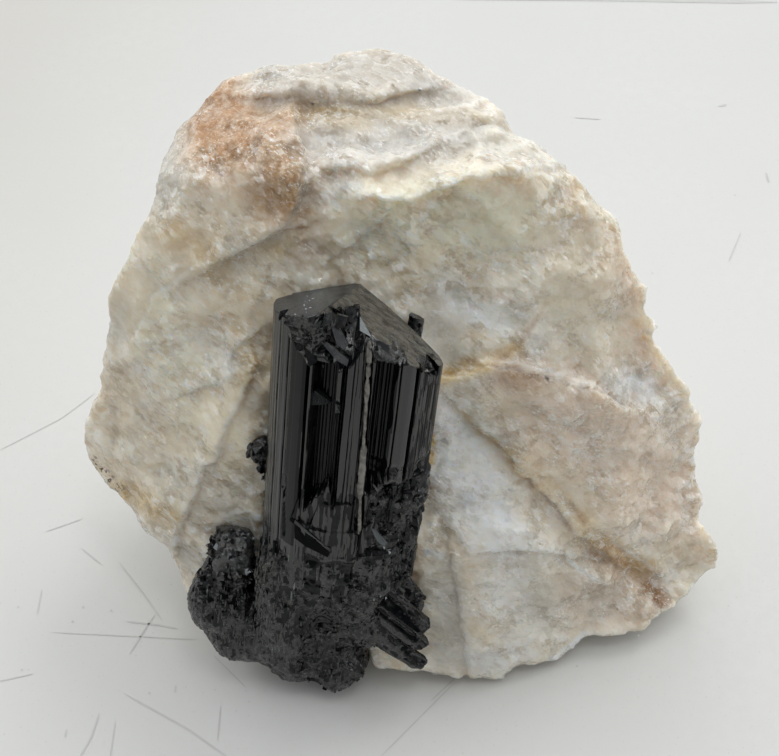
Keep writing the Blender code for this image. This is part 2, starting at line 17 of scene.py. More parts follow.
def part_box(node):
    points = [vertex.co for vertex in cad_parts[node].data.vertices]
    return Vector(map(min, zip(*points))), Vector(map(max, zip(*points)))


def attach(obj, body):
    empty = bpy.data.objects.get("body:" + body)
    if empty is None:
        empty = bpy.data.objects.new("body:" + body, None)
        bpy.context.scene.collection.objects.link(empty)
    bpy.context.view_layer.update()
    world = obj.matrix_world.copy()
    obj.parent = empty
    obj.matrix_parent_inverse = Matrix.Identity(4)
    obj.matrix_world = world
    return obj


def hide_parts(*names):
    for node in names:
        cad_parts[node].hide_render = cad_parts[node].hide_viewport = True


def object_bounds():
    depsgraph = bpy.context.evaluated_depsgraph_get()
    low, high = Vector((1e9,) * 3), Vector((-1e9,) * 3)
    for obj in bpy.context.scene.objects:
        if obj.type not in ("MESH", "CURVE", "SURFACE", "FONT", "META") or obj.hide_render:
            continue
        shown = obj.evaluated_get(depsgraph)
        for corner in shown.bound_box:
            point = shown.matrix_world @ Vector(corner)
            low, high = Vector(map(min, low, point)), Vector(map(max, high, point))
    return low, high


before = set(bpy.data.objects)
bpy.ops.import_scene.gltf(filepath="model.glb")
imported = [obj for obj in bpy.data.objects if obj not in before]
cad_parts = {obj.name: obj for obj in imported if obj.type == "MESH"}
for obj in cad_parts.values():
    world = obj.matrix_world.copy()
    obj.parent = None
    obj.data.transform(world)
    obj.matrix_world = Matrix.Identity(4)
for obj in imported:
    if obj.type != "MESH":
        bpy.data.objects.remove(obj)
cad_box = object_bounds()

MM = 0.001

FACE_CENTRE = Vector((-3.65, -7.2, 77.0))
FACE_LEAN = math.radians(40)
CRYSTAL_ROOT = Vector((-15.3, -34.5, -10.3))
CRYSTAL_TURN = Euler((math.radians(36), 0.0, math.radians(-6.7)))
FACE = Matrix.Translation(FACE_CENTRE) @ Matrix.Rotation(FACE_LEAN, 4, "X")
AXIS = FACE @ Matrix.Translation(CRYSTAL_ROOT) @ CRYSTAL_TURN.to_matrix().to_4x4()

CAMERA_DISTANCE = 266.0
FOCAL_LENGTH = 60.0

# Lamps: name, place, size, power, colour. They all look at the block.
LAMPS = (
    ("window", (0.75, 1.0, 2.0), (0.95, 0.6), 8.5, (1.0, 0.99, 0.97)),
    ("ceiling_panel", (0.25, -0.2, 1.45), (0.25, 0.18), 1.3, (1.0, 1.0, 0.98)),
    ("far_window", (-1.2, 0.2, 1.7), (0.7, 0.5), 3.0, (0.93, 0.97, 1.0)),
)
LAMP_AIM = Vector((0, 0, 0.06))
# The sky is brightest behind the block, that way: from and to along it, and the strength at both
SKY_WAY = (0.08, 0.58, 0.64)
SKY_GLOW = (-0.15, 0.86, 0.08, 1.62)
SKY_COLOUR = (0.95, 0.97, 1.0)

# The quartz: fine in front, coarser on the sides that face away
QUARTZ_GRID = 1.21
FRONT_LIMIT = 0.25

# Stains and veils in the quartz, by mask: half width, strength, and points right and up on the broad face
VEILS = {
    "iron": (
        (9, 0.95, (-35, 54), (-32.5, 47)), (7, 0.75, (-29, 52), (-21, 51)),
        (6, 0.7, (-21.5, 47), (-19, 40), (-21, 34)), (3, 0.5, (24, 1), (28.5, -0.8)),
        (3.8, 0.65, (47, -39.5), (54.6, -44.3), (61, -48)),
    ),
    "rust": (
        (2.4, 0.35, (-35.5, 55), (-35.6, 50)), (1.2, 0.35, (-24, 47), (-27.5, 40)),
        (1.6, 0.3, (-17.3, 28.4), (-15.4, 24.7), (-17.4, 22)),
        (0.7, 0.3, (21, 3), (25.5, 6.3), (31.4, 14.6)),
        (0.6, 0.7, (29.3, -21.3), (33.4, -25.2), (37.2, -29.3), (40.3, -33.6)),
        (0.9, 0.4, (37, -26), (43, -31)), (1.8, 0.85, (61, -49.5), (65.2, -53)),
    ),
    "gold": (
        (2.6, 0.7, (-18, 52), (-11.6, 50.5), (-5.5, 49.5)), (2.4, 0.4, (-3, 52), (8, 51), (16, 50.5)),
        (3.6, 0.4, (-18, 36), (-16.5, 31), (-20, 26.5), (-24, 25)),
        (4, 0.35, (-43.5, 28.5), (-37.5, 24.5), (-33.5, 21.5)), (2.4, 0.6, (-2, 32), (4, 32.5), (8.6, 34)),
        (3.6, 0.45, (6, 31.5), (9, 28)), (1.6, 0.4, (12, 36.5), (18, 37.2), (24, 38.2)),
        (2.2, 0.6, (11, 0.5), (19.5, 3), (25.5, 6.3)), (2.6, 0.5, (-30, 8), (-28, 3), (-30, -2)),
        (1.1, 0.8, (14.9, -7), (18.7, -11.1), (22.7, -14.1), (29.3, -21.3)),
        (2.4, 0.35, (26, -16), (33, -22), (45, -34)), (3, 0.7, (44, -36), (50.5, -39), (58.8, -44)),
        (1.4, 0.9, (8.6, -12.9), (8.6, -17.3)), (3.6, 0.6, (-60, -25.5), (-54, -27.5), (-48, -31)),
        (4, 0.3, (-25, 0), (-21, 7)), (8, 0.12, (38, -50), (48, -50)), (9, 0.15, (32, 32), (42, 26)),
        (9, 0.25, (-3, 27), (8, 30), (20, 29)), (8, 0.22, (-26, 30), (-28, 18), (-24, 8)),
        (8, 0.15, (-34, -8), (-36, -19)),
    ),
    "milk": (
        (4, 0.5, (-14.5, 44.5), (-7.6, 43.5), (1, 43.5), (5, 45.5)), (3, 0.4, (4, 59), (14, 56)),
        (3, 0.5, (14, -17), (21, -26), (30, -36)), (7, 0.95, (16, -14), (19, -26), (24, -35)),
        (4, 0.7, (48.5, 0), (55, -2)), (7, 0.45, (24.8, -48), (33, -54), (28, -63)),
        (2.6, 0.6, (-9, 35), (-4, 33)), (3, 0.5, (12.5, 31), (15, 26), (21.5, 22.7)),
        (3.6, 0.6, (10, 20), (14, 14), (22, 12)), (3.6, 0.35, (-43, 8), (-37, 2)),
        (1, 1, (38.5, -67), (43.3, -63.3), (45.6, -60.4)), (0.9, 1, (7.9, -38.4), (11.3, -38.7)),
        (2.4, 0.6, (19.5, -65), (26, -66.5)), (8, 0.95, (11, -11), (15, -17), (20, -27)),
    ),
    # A greyish tint of the quartz's own, and painted shade on the up-facing top slab
    "grey_and_painted_shade": (
        (9, 0.75, (-20, 60), (0, 61), (12, 60)), (7, 0.65, (-12, 46), (4, 46), (12, 48)),
        (8, 0.4, (38, -50), (48, -50)),
    ),
    "clear": (
        (6, 0.5, (14, 46), (28, 44)), (5, 0.7, (11.5, -43), (13, -54), (13.5, -64)),
        (5, 0.6, (8, 11.5), (12, 6.6), (16, 1.6)), (5, 0.8, (-44, 50), (-46, 41), (-52, 26), (-58, 12)),
        (6.5, 0.3, (-31, -8), (-34, -18), (-39, -27)), (7, 0.25, (22, 30), (36, 26), (40, 15)),
        (4, 0.5, (-46, -40), (-45, -48)), (6, 0.4, (24, -43), (32, -48)),
    ),
    "light": (
        (10, 0.95, (-2, 28), (8, 31), (22, 29)), (9, 0.5, (36, 18), (46, 10)),
        (9, 0.65, (-52, 24), (-46, 6), (-40, -6), (-34, -14)),
    ),
    "blush": (
        (5, 0.6, (23, 0.6), (31, 0.2)), (14, 0.6, (38, -8), (52, -16), (60, -26)),
        (9, 0.6, (46, 18), (50, 8)), (9, 0.45, (-33, 44), (-24, 36), (-19, 34)),
        (8, 0.5, (45, -52), (58, -54)),
    ),
    "dirt": (
        (2.2, 1, (-68.3, -20.6), (-65.5, -23.4), (-62, -25.8)),
    ),
}
# What the stains do to the quartz's colour, in the order that they lie over each other
STAINS = (
    ("blush", (0.83, 0.655, 0.51)), ("clear", (0.66, 0.64, 0.565)), ("milk", (0.94, 0.94, 0.91)),
    ("gold", (0.70, 0.49, 0.18)), ("iron", (0.47, 0.26, 0.11)), ("rust", (0.38, 0.18, 0.06)),
)

# Ledges of the broken face: height, reach, painted shade, painted highlight along the edge, and points
# right and up. The side to the left of the line stands higher and is painted paler, or lower and painted
# duller where the number is negative.
LEDGES = (
    (
        0.8, 6, 0.3, 0.4, (-25.1, 55.7), (-18.4, 55.3), (-10.9, 53.9), (-2.7, 53.9), (2.9, 55.3), (9, 56.6),
        (13.4, 57.9),
    ),
    (0.5, 4, 0.5, 0.3, (8.9, 52.3), (15.6, 52.6), (19, 54.2)),
    (
        1, 7, 0.2, 0.6, (-1.9, 33.6), (1.1, 33.5), (4.3, 32.5), (6.7, 33.9), (14.9, 37.1), (21.2, 37.9),
        (28.9, 40.1), (35.5, 41.6),
    ),
    (0.8, 5, 0.5, 0.3, (-7.3, 25.5), (-3.4, 27.9), (1.1, 32.6)),
    (0.7, 4, 0.4, 0.4, (-9.8, 39.3), (-5.4, 39.5), (-3.6, 38.2), (1.1, 39.9), (9.3, 44.8), (13.1, 47.1)),
    (1, 5, 0.7, 0.6, (-29.8, 23.8), (-25.8, 25.6), (-22.9, 27.1), (-18, 28.8)),
    (-1.2, 4, 0.6, 0.2, (-18.2, 49.4), (-16.2, 43.2), (-16.1, 39.7), (-16.8, 36.6)),
    (0.7, 5, 0.5, 0.4, (-40, 21), (-44.3, 18.1), (-48.8, 16.1), (-50.1, 12.7), (-52.6, 9.6)),
    (-0.9, 4, -0.3, 0.7, (-28.2, 8.3), (-31.4, 6.1), (-32.1, 3.5), (-31.9, 0.2)),
    (-0.6, 5, -0.4, 0.4, (-31.9, 0.2), (-36, -1.2), (-42.4, -3.1)),
    (
        -1.5, 9, -0.45, 0.7, (-29, -2), (-31.6, -7.6), (-33.9, -10.6), (-36.2, -17.1), (-39.6, -19.5),
        (-43.4, -27.2), (-45.6, -31.6), (-48, -37.8),
    ),
    (-0.6, 4, -0.4, 0.4, (-45, -33), (-42.4, -35.5), (-39.6, -37.8)),
    (1.3, 5, 1, 0.5, (22.3, 2.6), (30.5, 1.2), (34.8, 0), (40.6, -1.7)),
    (1, 4, 0.7, 0.3, (44, -1), (46.2, -2.7), (50.9, -5.5), (57.4, -4.8), (60.8, -3.9)),
    (0.4, 3, 0, 0.8, (35.7, -12.7), (40, -15.4), (44.3, -17.9)),
    (
        1.6, 6, -0.2, 0.4, (14.9, -7), (18.7, -11.1), (22.7, -14.1), (29.3, -21.3), (37.2, -29.3),
        (40.3, -33.6), (46.3, -38.2),
    ),
    (1, 3, 0, 1.6, (41, -41), (44.6, -44.8), (50, -47.6)),
    (0.6, 4, 0, 0.7, (50.5, -36.9), (57.4, -41.4), (63.4, -46.7)),
    (1.1, 6, 0.7, 0.5, (13.6, -32.8), (18.2, -38.4), (26.7, -37.8), (33.3, -38.1), (40, -40)),
    (0.9, 6, 0.9, 0.6, (13.6, -39.5), (15.4, -49.6), (17.1, -58.7), (18.5, -68)),
    (0.5, 4, -0.6, 0.4, (18.8, -62.3), (23.7, -63.9), (28, -63)),
    (0.7, 4, 0.5, 0.3, (12.7, -10.4), (12, -15.1), (10.2, -21.7), (9.1, -28.5)),
)


# The prism's smooth outline across its length: (across, out), from its hidden left side round its front
OUTLINE = (
    (-9.5, -10.8), (-12.3, -8), (-12.4, -5), (-11.95, -1.5), (-11.2, 1.5), (-9.6, 4.1), (-8, 5.5),
    (-5, 7.8), (-2, 8.7), (1, 9.1), (4.2, 9.15), (7, 8.8), (9, 8.3), (11.8, 7.7), (15.2, 6.4), (18, 4.4),
    (20.6, 1.5), (21, 0.2), (20.4, -1.6), (17.6, -3.8), (13.5, -6.6), (9, -9.2), (3, -11.6), (-1, -11.8),
)
# The corners of the outline between which it is seen, and the steps there, to the left of it and behind
SEEN_FROM, SEEN_TO = 2, 17
SEEN_STEP, LEFT_STEP, BACK_STEP = 0.105, 0.6, 1.2
FOOT = -7.0
# Rows of the prism's wall, finer at both ends: from and to as shares of its height, and how many
WALL_ROWS = ((0, 0.47, 105), (0.47, 0.8, 28), (0.8, 1, 50))
# Rings of its end: shares of the way from the rim to a line across the middle, the ends of that line and
# how far out it lies
CAP_RINGS = (0.02, 0.06, 0.12, 0.2, 0.3, 0.4, 0.52, 0.64, 0.76, 0.88, 1.0)
CAP_SPINE = (-6.0, 14.0)
CAP_MIDDLE_OUT = -3.0
# Where its two end faces meet, across and along, and how each of them rises across and out
APEX = Vector((-0.4, 60.6))
END_FACES = ((0.306, 0.3275), (-0.52, 0.069))

# Narrow dark bands between the ribs, sunk and with painted shade: from and to across, depth, and from and
# to along the crystal
BANDS = (
    (-11.35, -11.2, 0.12, 8, 58), (-10.7, -10.6, 0.12, 4, 60), (-10.12, -9.78, 0.5, 2, 62),
    (-9.1, -9, 0.1, 10, 60), (-8.25, -7.9, 0.5, 2, 60), (-7.56, -7.42, 0.2, 4, 60),
    (-4.35, -3.66, 1.6, 12, 53), (2.4, 3.45, 1.9, 19, 53), (4.58, 4.84, 0.5, 16, 54.5),
    (5.22, 5.42, 0.4, 14, 56), (5.98, 6.1, 0.25, 18, 57), (6.7, 7.14, 0.8, 10, 58),
    (8.36, 8.95, 1.2, 12, 56), (12.68, 12.86, 0.4, 26, 54), (13.1, 13.5, 0.7, 24, 54),
    (16.1, 16.85, 1.2, 22, 55), (17.9, 18.05, 0.25, 24, 52), (18.65, 18.8, 0.3, 26, 51),
    (19.3, 19.42, 0.2, 26, 50), (20, 20.15, 0.25, 28, 49),
)
# Hollows, with painted shade: from and to across, where the foot lies along at the left and right wall, the
# upper end along, depth at the left wall and at the right wall
HOLLOWS = (
    (-3.26, 1.64, 14.5, 23.2, 52.8, 4.6, 2.6), (1.64, 2.4, 23.2, 21.2, 44.4, 1.9, 1.9),
    (8.95, 12.66, 21, 24, 55, 4.4, 2),
)
# The thin quartz seam: along, across, half width
SEAM = (
    (58.4, 6.75, 0.12), (57, 6.85, 0.5), (55.3, 7, 0.62), (53.8, 7.05, 0.45), (53, 7.05, 0.2),
    (52.2, 7.1, 0.5), (50.8, 7.15, 0.5), (50.1, 7.15, 0.22), (48.2, 7.2, 0.55), (45.8, 7.35, 0.5),
    (44, 7.4, 0.3), (41, 7.5, 0.34), (36.2, 7.6, 0.28), (33.6, 7.75, 0.3), (32.9, 7.8, 0.72),
    (27.6, 7.9, 0.7), (22.4, 8, 0.66), (20.9, 8.05, 0.5), (20, 8.2, 0.24), (18, 8.3, 0.24),
    (16.6, 8.4, 0.34), (12.5, 8.6, 0.36), (11, 8.7, 0.2),
)
SEAM_OUT = 8.75
SEAM_STEP = 0.16
SEAM_SIDES = 14
# The groove that it lies in: the soft edges of its sides, its foot and its top, and its depth
GROOVE_SIDE, GROOVE_FOOT, GROOVE_TOP, GROOVE_DEPTH = (0.75, 0.95), (10.5, 12), (58, 59), 2.0
# Where the broken top begins: across, along on the front, and how far out the break reaches on the cap
BROKEN_TOP = (
    (-9.2, 61, 9), (-8.2, 58, 7), (-7.3, 55.4, 7.2), (-6.3, 53.9, 7.6), (-4.7, 52.4, 8.2),
    (-3.7, 51.4, 8.6), (-2.5, 54, 7.4), (-1.2, 54.4, 5.6), (0, 53.3, 3.6), (0.8, 52.4, 1.6),
    (1.8, 51.6, -0.6), (3.9, 53, -2.2), (4.6, 54.3, 0.4), (5.5, 56.3, 2.4), (6.4, 57.6, 4.2),
    (7.5, 56.6, 5.6), (8.1, 54.2, 6.2), (10.3, 53.8, 5), (11.6, 53.2, 3.4), (13.2, 52.8, 3.2),
    (14.4, 56, 8), (15.9, 55, 8), (16.5, 51.6, 1.6), (18.2, 49.6, 0.4), (20.2, 48, -1),
)
# The stretch across whose top is broken off
BROKEN_SPAN = (-9.4, 20.3)
# Broken zones of the wall that reach right and down from two soft edges: from and to across, from and to
# along. The lowest part is broken from side to side.
RIGHT_BREAK = (10.6, 11.4, 27, 29)
MIDDLE_BREAK = (-4.4, -3.8, 20, 24)
GRAINY = (-5, -3, 1, 4.5)
LOW_BREAK = (-3, 0)
# From and to across: the one smooth dark face, which gets painted shade, and the rib that is wide and calm
SMOOTH_FACE = (-7.4, -4.4)
WIDE_RIB = (13.7, 15.9)
# Splinters of the broken top and of the right side: number, how deep they sit, from and to size, stretch
# (across, along, out) and how freely they turn
PRISM_SPLINTERS = (
    (70, 0.3, (0.6, 1.7), (1.1, 0.8, 0.4), 0.5), (90, 0.35, (0.6, 1.7), (0.8, 1.4, 0.45), 0.35),
)
# Dents and facets of the prism's lower front: across, along, half sizes, turn, depth
DENTS = (
    (14.5, 9, 5.5, 15, -6, 1.5), (-2.6, 16, 2.2, 5, -12, 0.9), (-7.3, 20.5, 0.6, 2, 0, 0.5),
    (-7, 13, 0.3, 7, 3, 0.9),
)

# Single flakes: how whitish they are, partly their own colour and partly painted glint, thickness, and the
# corners (across, along, out) of the side that shows
FLAKES = (
    (0.55, 0.4, (4.4, 58.5, 1.2), (6.9, 57.4, 5.6), (4.8, 58.6, 5.8)),
    (0.05, 1.6, (-2.9, 44.3, 6.2), (0.9, 41.7, 6.3), (-0.8, 41.5, 6.9), (-3.3, 41, 6.9)),
    (0.02, 0.5, (1.7, 43.9, 9.2), (2.6, 43.5, 9.1), (2.7, 42.1, 9.5), (1.8, 41.8, 9.4)),
    (0.15, 0.3, (-1.6, 49.5, 5.2), (-1.2, 49.4, 5.2), (-1.4, 49, 5.5)),
    (0.05, 0.5, (-0.3, 58.6, 6.2), (0.9, 58.9, 6), (3, 56.4, 7.4), (2.4, 55.6, 8.2), (0.9, 56.4, 8)),
    (0.02, 0.5, (-2.2, 56.6, 7.6), (-0.8, 56.4, 7.6), (3.4, 53.9, 8.8), (3.2, 53, 9.6), (1, 54, 9.3)),
    (0.01, 0.5, (-7, 57.6, 6.8), (-5.4, 57.4, 7), (-4.9, 55, 8.4), (-6.4, 54.3, 8.3)),
    (0.01, 0.5, (-5, 54.6, 8), (-3.9, 55, 8), (-2.4, 52.8, 8.9), (-3.7, 51.6, 9.3)),
    (0.01, 0.5, (-2.6, 61, 6.4), (-0.6, 62.2, 6), (-0.2, 60.8, 7.2), (-1.9, 59.4, 7.6)),
    (0, 0.5, (0.4, 62, 6.4), (2.4, 61.2, 5.8), (2, 59.6, 7), (0.3, 59.8, 7.6)),
    (0.04, 0.3, (-4.6, 12, 8.5), (-4.4, 12.7, 8.4), (-0.1, 9.4, 9.3), (3.3, 6.9, 9.5), (3.2, 6.3, 9.6)),
    (0.25, 0.5, (11.2, 13, 9), (12, 13, 9.2), (14.5, 10, 9.3), (14.2, 9.4, 9.6), (12.6, 10.6, 9.6)),
    (1, 0.3, (13.8, 9.4, 9.6), (14.3, 9.2, 9.6), (14.2, 8.7, 9.7)),
    (1, 0.3, (15.1, 7.8, 9.2), (15.6, 7.5, 9.2), (15.3, 7.1, 9.3)),
    (0.9, 0.3, (14.5, -7.5, 6.6), (15, -7.7, 6.5), (14.7, -8.1, 6.7)),
    (0.9, 0.3, (15.7, -8.5, 6.1), (16.1, -8.8, 6), (15.8, -9.1, 6.2)),
)
# Black sheets of painted shade in the gaps of the lower front: corners across, along, out
GAP_SHADE_SHEETS = (
    (
        (-4.5, 11.8, 8.2), (-0.1, 8.7, 9.3), (3.2, 6.1, 9.5), (2.9, 4.6, 9.6), (-1.9, 6.7, 9.3),
        (-4.3, 7.9, 8.5),
    ),
    ((8.8, 11.8, 8.7), (9.3, 11.6, 8.6), (9.1, 3.8, 8.8), (8.8, 3.9, 8.9)),
    ((-8.9, 3.5, 5.6), (-8.4, 3.6, 5.9), (-8.3, -2, 6.2), (-8.7, -2.2, 5.9)),
)
# White specks on the left end face: across and out
SPECKS = (
    (-6.3, -6.8), (-5, -4.3), (-5.6, -2.9), (-6.3, -2.7), (-6, 0.1), (-4.6, 2.5), (-5.6, 2.8), (-5.2, 5.2),
    (-7, 5.6), (-6.4, 5.8),
)
SPECK_SIZE = 0.16

# Percentages of the broken surface that get painted shade, the shaded material: broken top, broken right
# side, foot, slanting crystals
DARK_TOP, DARK_RIGHT, DARK_FOOT, DARK_SPRIGS = 34, 42, 42, 45

# Broken tourmaline round the foot: middle (across, along, out), half sizes, seed
LUMPS = (
    ((-5, -13.5, 0.3), (8.6, 26.5, 8.8), 11), ((-18.8, -12, -3.5), (6, 9.4, 5.8), 12),
    ((-19.9, -24.4, -3), (9, 13, 7.6), 13), ((-14.5, -33, -3), (9.8, 9.6, 7.6), 14),
    ((6.6, -9.5, -0.5), (10.6, 15.5, 9.2), 15), ((-2.5, -35.5, -2), (10.2, 9.8, 7.6), 16),
    ((6.8, -37, -1.5), (7.6, 10, 6.8), 17), ((12, -22, -2), (8.4, 10, 6.6), 18),
    ((14, 7.5, -0.5), (5.2, 11.5, 6.4), 19), ((17.3, 18, -1), (4.6, 8.4, 5.4), 20),
    ((2.5, -26.5, -2), (9, 9.5, 7), 21), ((-9.5, -30, -3), (8, 9.5, 6.4), 22),
    ((17.5, -17.5, -1.6), (6.6, 9, 3.6), 23),
)
PLATES = (
    ((-13, 17.5, -6), (2.6, 3.6, 2.6), 31), ((-12.4, 12, -6), (1.9, 3.4, 2.2), 32),
    ((-11.8, 7, -6), (1.7, 2.6, 2.2), 33),
)
# Splinters of the foot's grainy right, blocky lump and woody left, as the prism's but all at the surface
FOOT_SPLINTERS = (
    (520, (0.3, 1.1), (1, 0.8, 0.6), 1), (130, (0.6, 1.9), (1, 0.9, 0.6), 0.6),
    (420, (0.3, 0.5), (0.8, 5, 0.5), 0.03),
)
# The cleft between the lump and the column: across, half width, depth
CLEFT = (-13.3, 0.7, 3.2)
# Spots of the foot: across, along, and half sizes. The lump's top is hazy, and both spots are dusty.
LUMP_TOP = (-19, -8, 4.5, 6)
DUSTY_SPOT = (-11.3, -5, 2, 2.4)
LUMP_POINTS = 34
LUMP_REACH = (0.84, 1.04)
# How fine the meshes are that are made anew: the foot first coarse and then fine, sprigs, needle and grain
FOOT_GRIDS, SPRIG_GRID, NEEDLE_GRID, GRAIN_GRID = (1.1, 0.42), 0.24, 0.16, 0.1
FOOT_SWELL = 0.7

# Short crystals that slant out of the foot: root and tip (across, along, out), width, flatness, turn
SPRIGS = (
    ((9, -8.6, 0.8), (25.6, -21.2, 2), 6.6, 0.8, 30), ((9, -12.4, 1.5), (24.2, -24.6, 2.8), 4.2, 0.8, 10),
    ((9, -15.4, 1), (26.2, -26.6, 2.2), 4.6, 0.8, 28), ((8, -21.5, 0.8), (26.8, -33.4, 1.3), 5, 0.8, 30),
    ((8, -17, 1), (22.9, -29.4, 2.1), 5.4, 0.9, 10), ((14, 3, -1), (20, -2, 1), 2.2, 0.8, 15),
    ((12, -6, 2.5), (21, -12.8, 3), 2.6, 0.9, 40), ((16, -9, 1), (19.4, -11.6, 1.4), 2.9, 0.9, 20),
    ((16, 4.5, 1), (18.9, 2.6, 1.4), 2, 0.9, 20),
)
NEEDLE = ((15, 41, -10.4), (15.1, 53.6, -10.2), 3.3, 0.9, 15)
GRAIN = ((1.4, -44.6, -20.3), (1.0, 1.1, 1.6), 41)

# The table, in metres
TABLE_HALF = 0.9
TABLE_TOP = -0.0002
SCRATCH_TOP = -0.0001
# Scratches on the table: half width, and points right and back
SCRATCHES = (
    (0.16, (-109, 32), (-94, 43), (-86, 52)), (0.15, (-92, 6), (-83, 10)), (0.16, (-82, 1), (-76, -4)),
    (0.16, (-90, -11), (-90, -18)), (0.16, (-72, -3), (-64, -13), (-59, -20)),
    (0.2, (-68, -20), (-60, -21), (-55, -22)), (0.2, (-61, -18), (-63, -22), (-66, -29)),
    (0.12, (-86, -23), (-67, -24), (-50, -25)), (0.2, (-66, -39), (-50, -48), (-40, -55)),
    (0.2, (-71, -44), (-72, -50), (-74, -55)), (0.14, (-67, -46), (-67, -51), (-67, -55)),
    (0.2, (-78, -48), (-78, -50)), (0.13, (-46, -29), (-37, -38)), (0.14, (-96, -36), (-88, -34)),
    (0.13, (-43, -42), (-43, -51)), (0.18, (-54, -37), (-54, -39)), (0.16, (6, -41), (12, -35)),
    (0.15, (-6, -55), (12, -36)), (0.3, (119, 145), (119, 140)), (0.2, (100, 104), (106, 117)),
    (0.2, (59, 173), (68, 172)), (0.4, (109, 179), (112, 180)),
    (1.1, (8, 243.5), (75, 242.5), (141, 240.5)),
)
# Small spots on it: their size, and places right and back
SPOT_RADIUS = 0.32
SPOTS = (
    (-95, -16), (-79, -16), (-81, -20), (-72, -17), (-60, -39), (-91, -33), (107, 134), (76, 99), (41, -32),
)


# ---------------------------------------------------------------- meshes


def moved(points, matrix):
    """An array of points through a 4x4 matrix."""
    m = np.array(matrix)
    return points @ m[:3, :3].T + m[:3, 3]


def rising(low, high, values):
    """0 below low, 1 above high, and an even rise between them."""
    share = np.clip((values - low) / (high - low), 0.0, 1.0)
    return share * share * (3 - 2 * share)


def falling(low, high, values):
    """1 below low and 0 above high."""
    return 1 - rising(low, high, values)


def new_object(name, mesh, look, *nodes, smooth=True):
    """A finished piece in the solids' box, with the given material: it stands for the CAD nodes, which it
    hides.
    """
    low, high = (np.array(corner) for corner in cad_box)
    set_points(mesh, np.clip(get_points(mesh), low + 0.02 * MM, high - 0.02 * MM))
    if smooth:
        mesh.shade_smooth()
    made = bpy.data.objects.new(name, mesh)
    bpy.context.scene.collection.objects.link(made)
    mesh.materials.clear()
    mesh.materials.append(look)
    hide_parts(*nodes)
    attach(made, "root")


def remeshed(mesh, voxel):
    """The closed mesh rebuilt from even quads, voxel millimetres across."""
    holder = bpy.data.objects.new("remesh", mesh)
    bpy.context.scene.collection.objects.link(holder)
    rebuild = holder.modifiers.new("remesh", "REMESH")
    rebuild.mode = "VOXEL"
    rebuild.voxel_size = voxel * MM
    bpy.context.view_layer.update()
    shaped = holder.evaluated_get(bpy.context.evaluated_depsgraph_get())
    made = bpy.data.meshes.new_from_object(shaped)
    bpy.data.objects.remove(holder, do_unlink=True)
    return made


def softened(mesh):
    """Relaxes the mesh, and gives its points in millimetres."""
    world = relaxed(get_points(mesh) / MM, get_edges(mesh), 2)
    set_points(mesh, world * MM)
    return world


def values_of(items, key, width=3, kind=float):
    """One property of all of a mesh's items, a row for each."""
    values = np.empty(len(items) * width, kind)
    items.foreach_get(key, values)
    return values.reshape(-1, width)


def get_points(mesh):
    return values_of(mesh.vertices, "co")


def get_normals(mesh):
    return values_of(mesh.vertices, "normal")


def get_edges(mesh):
    return values_of(mesh.edges, "vertices", 2, np.int64)


def set_points(mesh, points):
    mesh.vertices.foreach_set("co", points.ravel())
    mesh.update()


def relaxed(points, edges, rounds, strength=0.5):
    """Moves every point towards the middle of its neighbours."""
    count = np.bincount(edges.ravel(), minlength=len(points))[:, None]
    for _ in range(rounds):
        total = np.zeros_like(points)
        for axis in range(3):
            total[:, axis] += np.bincount(edges[:, 0], points[edges[:, 1], axis], len(points))
            total[:, axis] += np.bincount(edges[:, 1], points[edges[:, 0], axis], len(points))
        points = points + (total / np.maximum(count, 1) - points) * strength
    return points


def add_mask(mesh, name, values):
    """A value for every point, for a material to read."""
    layer = mesh.attributes.new(name, "FLOAT", "POINT")
    layer.data.foreach_set("value", values.astype(np.float32))


def scatter(cells, seed, channel):
    """An even random number from 0 to 1 for every whole-numbered cell."""
    mixed = cells.astype(np.int64)
    code = mixed[..., 0] * 73856093 ^ mixed[..., 1] * 19349663 ^ mixed[..., 2] * 83492791
    code = (code ^ (seed * 2654435761 + channel * 40503)) & 0xFFFFFFFF
    for _ in range(2):
        code = ((code ^ (code >> 16)) * 0x45D9F3B) & 0xFFFFFFFF
    code = code ^ (code >> 16)
    return code / 4294967296.0


def facets(points, size, curve, tilt, step, seed):
    """Scooped facets with sharp crests between them, as stone breaks: a height for every point."""
    places = points / size + 0.5
    home = np.floor(places)
    best = np.full(len(points), 1e9)
    for offset in np.ndindex(3, 3, 3):
        cell = home + np.array(offset) - 1
        middle = cell + np.stack([scatter(cell, seed, k) for k in range(3)], -1)
        away = places - middle
        lean = np.stack([scatter(cell, seed, k + 3) for k in range(3)], -1) - 0.5
        height = curve * (away * away).sum(-1) + tilt * (away * lean).sum(-1)
        best = np.minimum(best, height + step * scatter(cell, seed, 6))
    return (best - best.mean()) * size


def ripple(points, size, seed, octaves=3, rough=0.5):
    """Smooth noise from about -1 to 1, whose largest features are about size across."""
    total = np.zeros(len(points))
    weight = 1.0
    for octave in range(octaves):
        places = points * 2.0 ** octave / size + 11.3
        home = np.floor(places)
        share = places - home
        share = share * share * (3 - 2 * share)
        value = np.zeros(len(points))
        for corner in np.ndindex(2, 2, 2):
            pick = np.array(corner)
            amount = np.prod(np.where(pick, share, 1 - share), axis=-1)
            value += amount * scatter(home + pick, seed + octave, 7)
        total += weight * (value * 2 - 1)
        weight *= rough
    return total


def line_reach(right, up, line):
    """How far each point of the face is from a line on it, and 1 to the line's left and -1 to its right."""
    best = np.full(len(right), 1e9)
    side = np.ones(len(right))
    for (x0, y0), (x1, y1) in zip(line, line[1:]):
        dx, dy = x1 - x0, y1 - y0
        share = np.clip(((right - x0) * dx + (up - y0) * dy) / (dx * dx + dy * dy), 0, 1)
        away = np.hypot(right - x0 - dx * share, up - y0 - dy * share)
        left = np.sign(dx * (up - y0) - dy * (right - x0))
        side = np.where(away < best, left, side)
        best = np.minimum(best, away)
    return best, side


# ---------------------------------------------------------------- materials


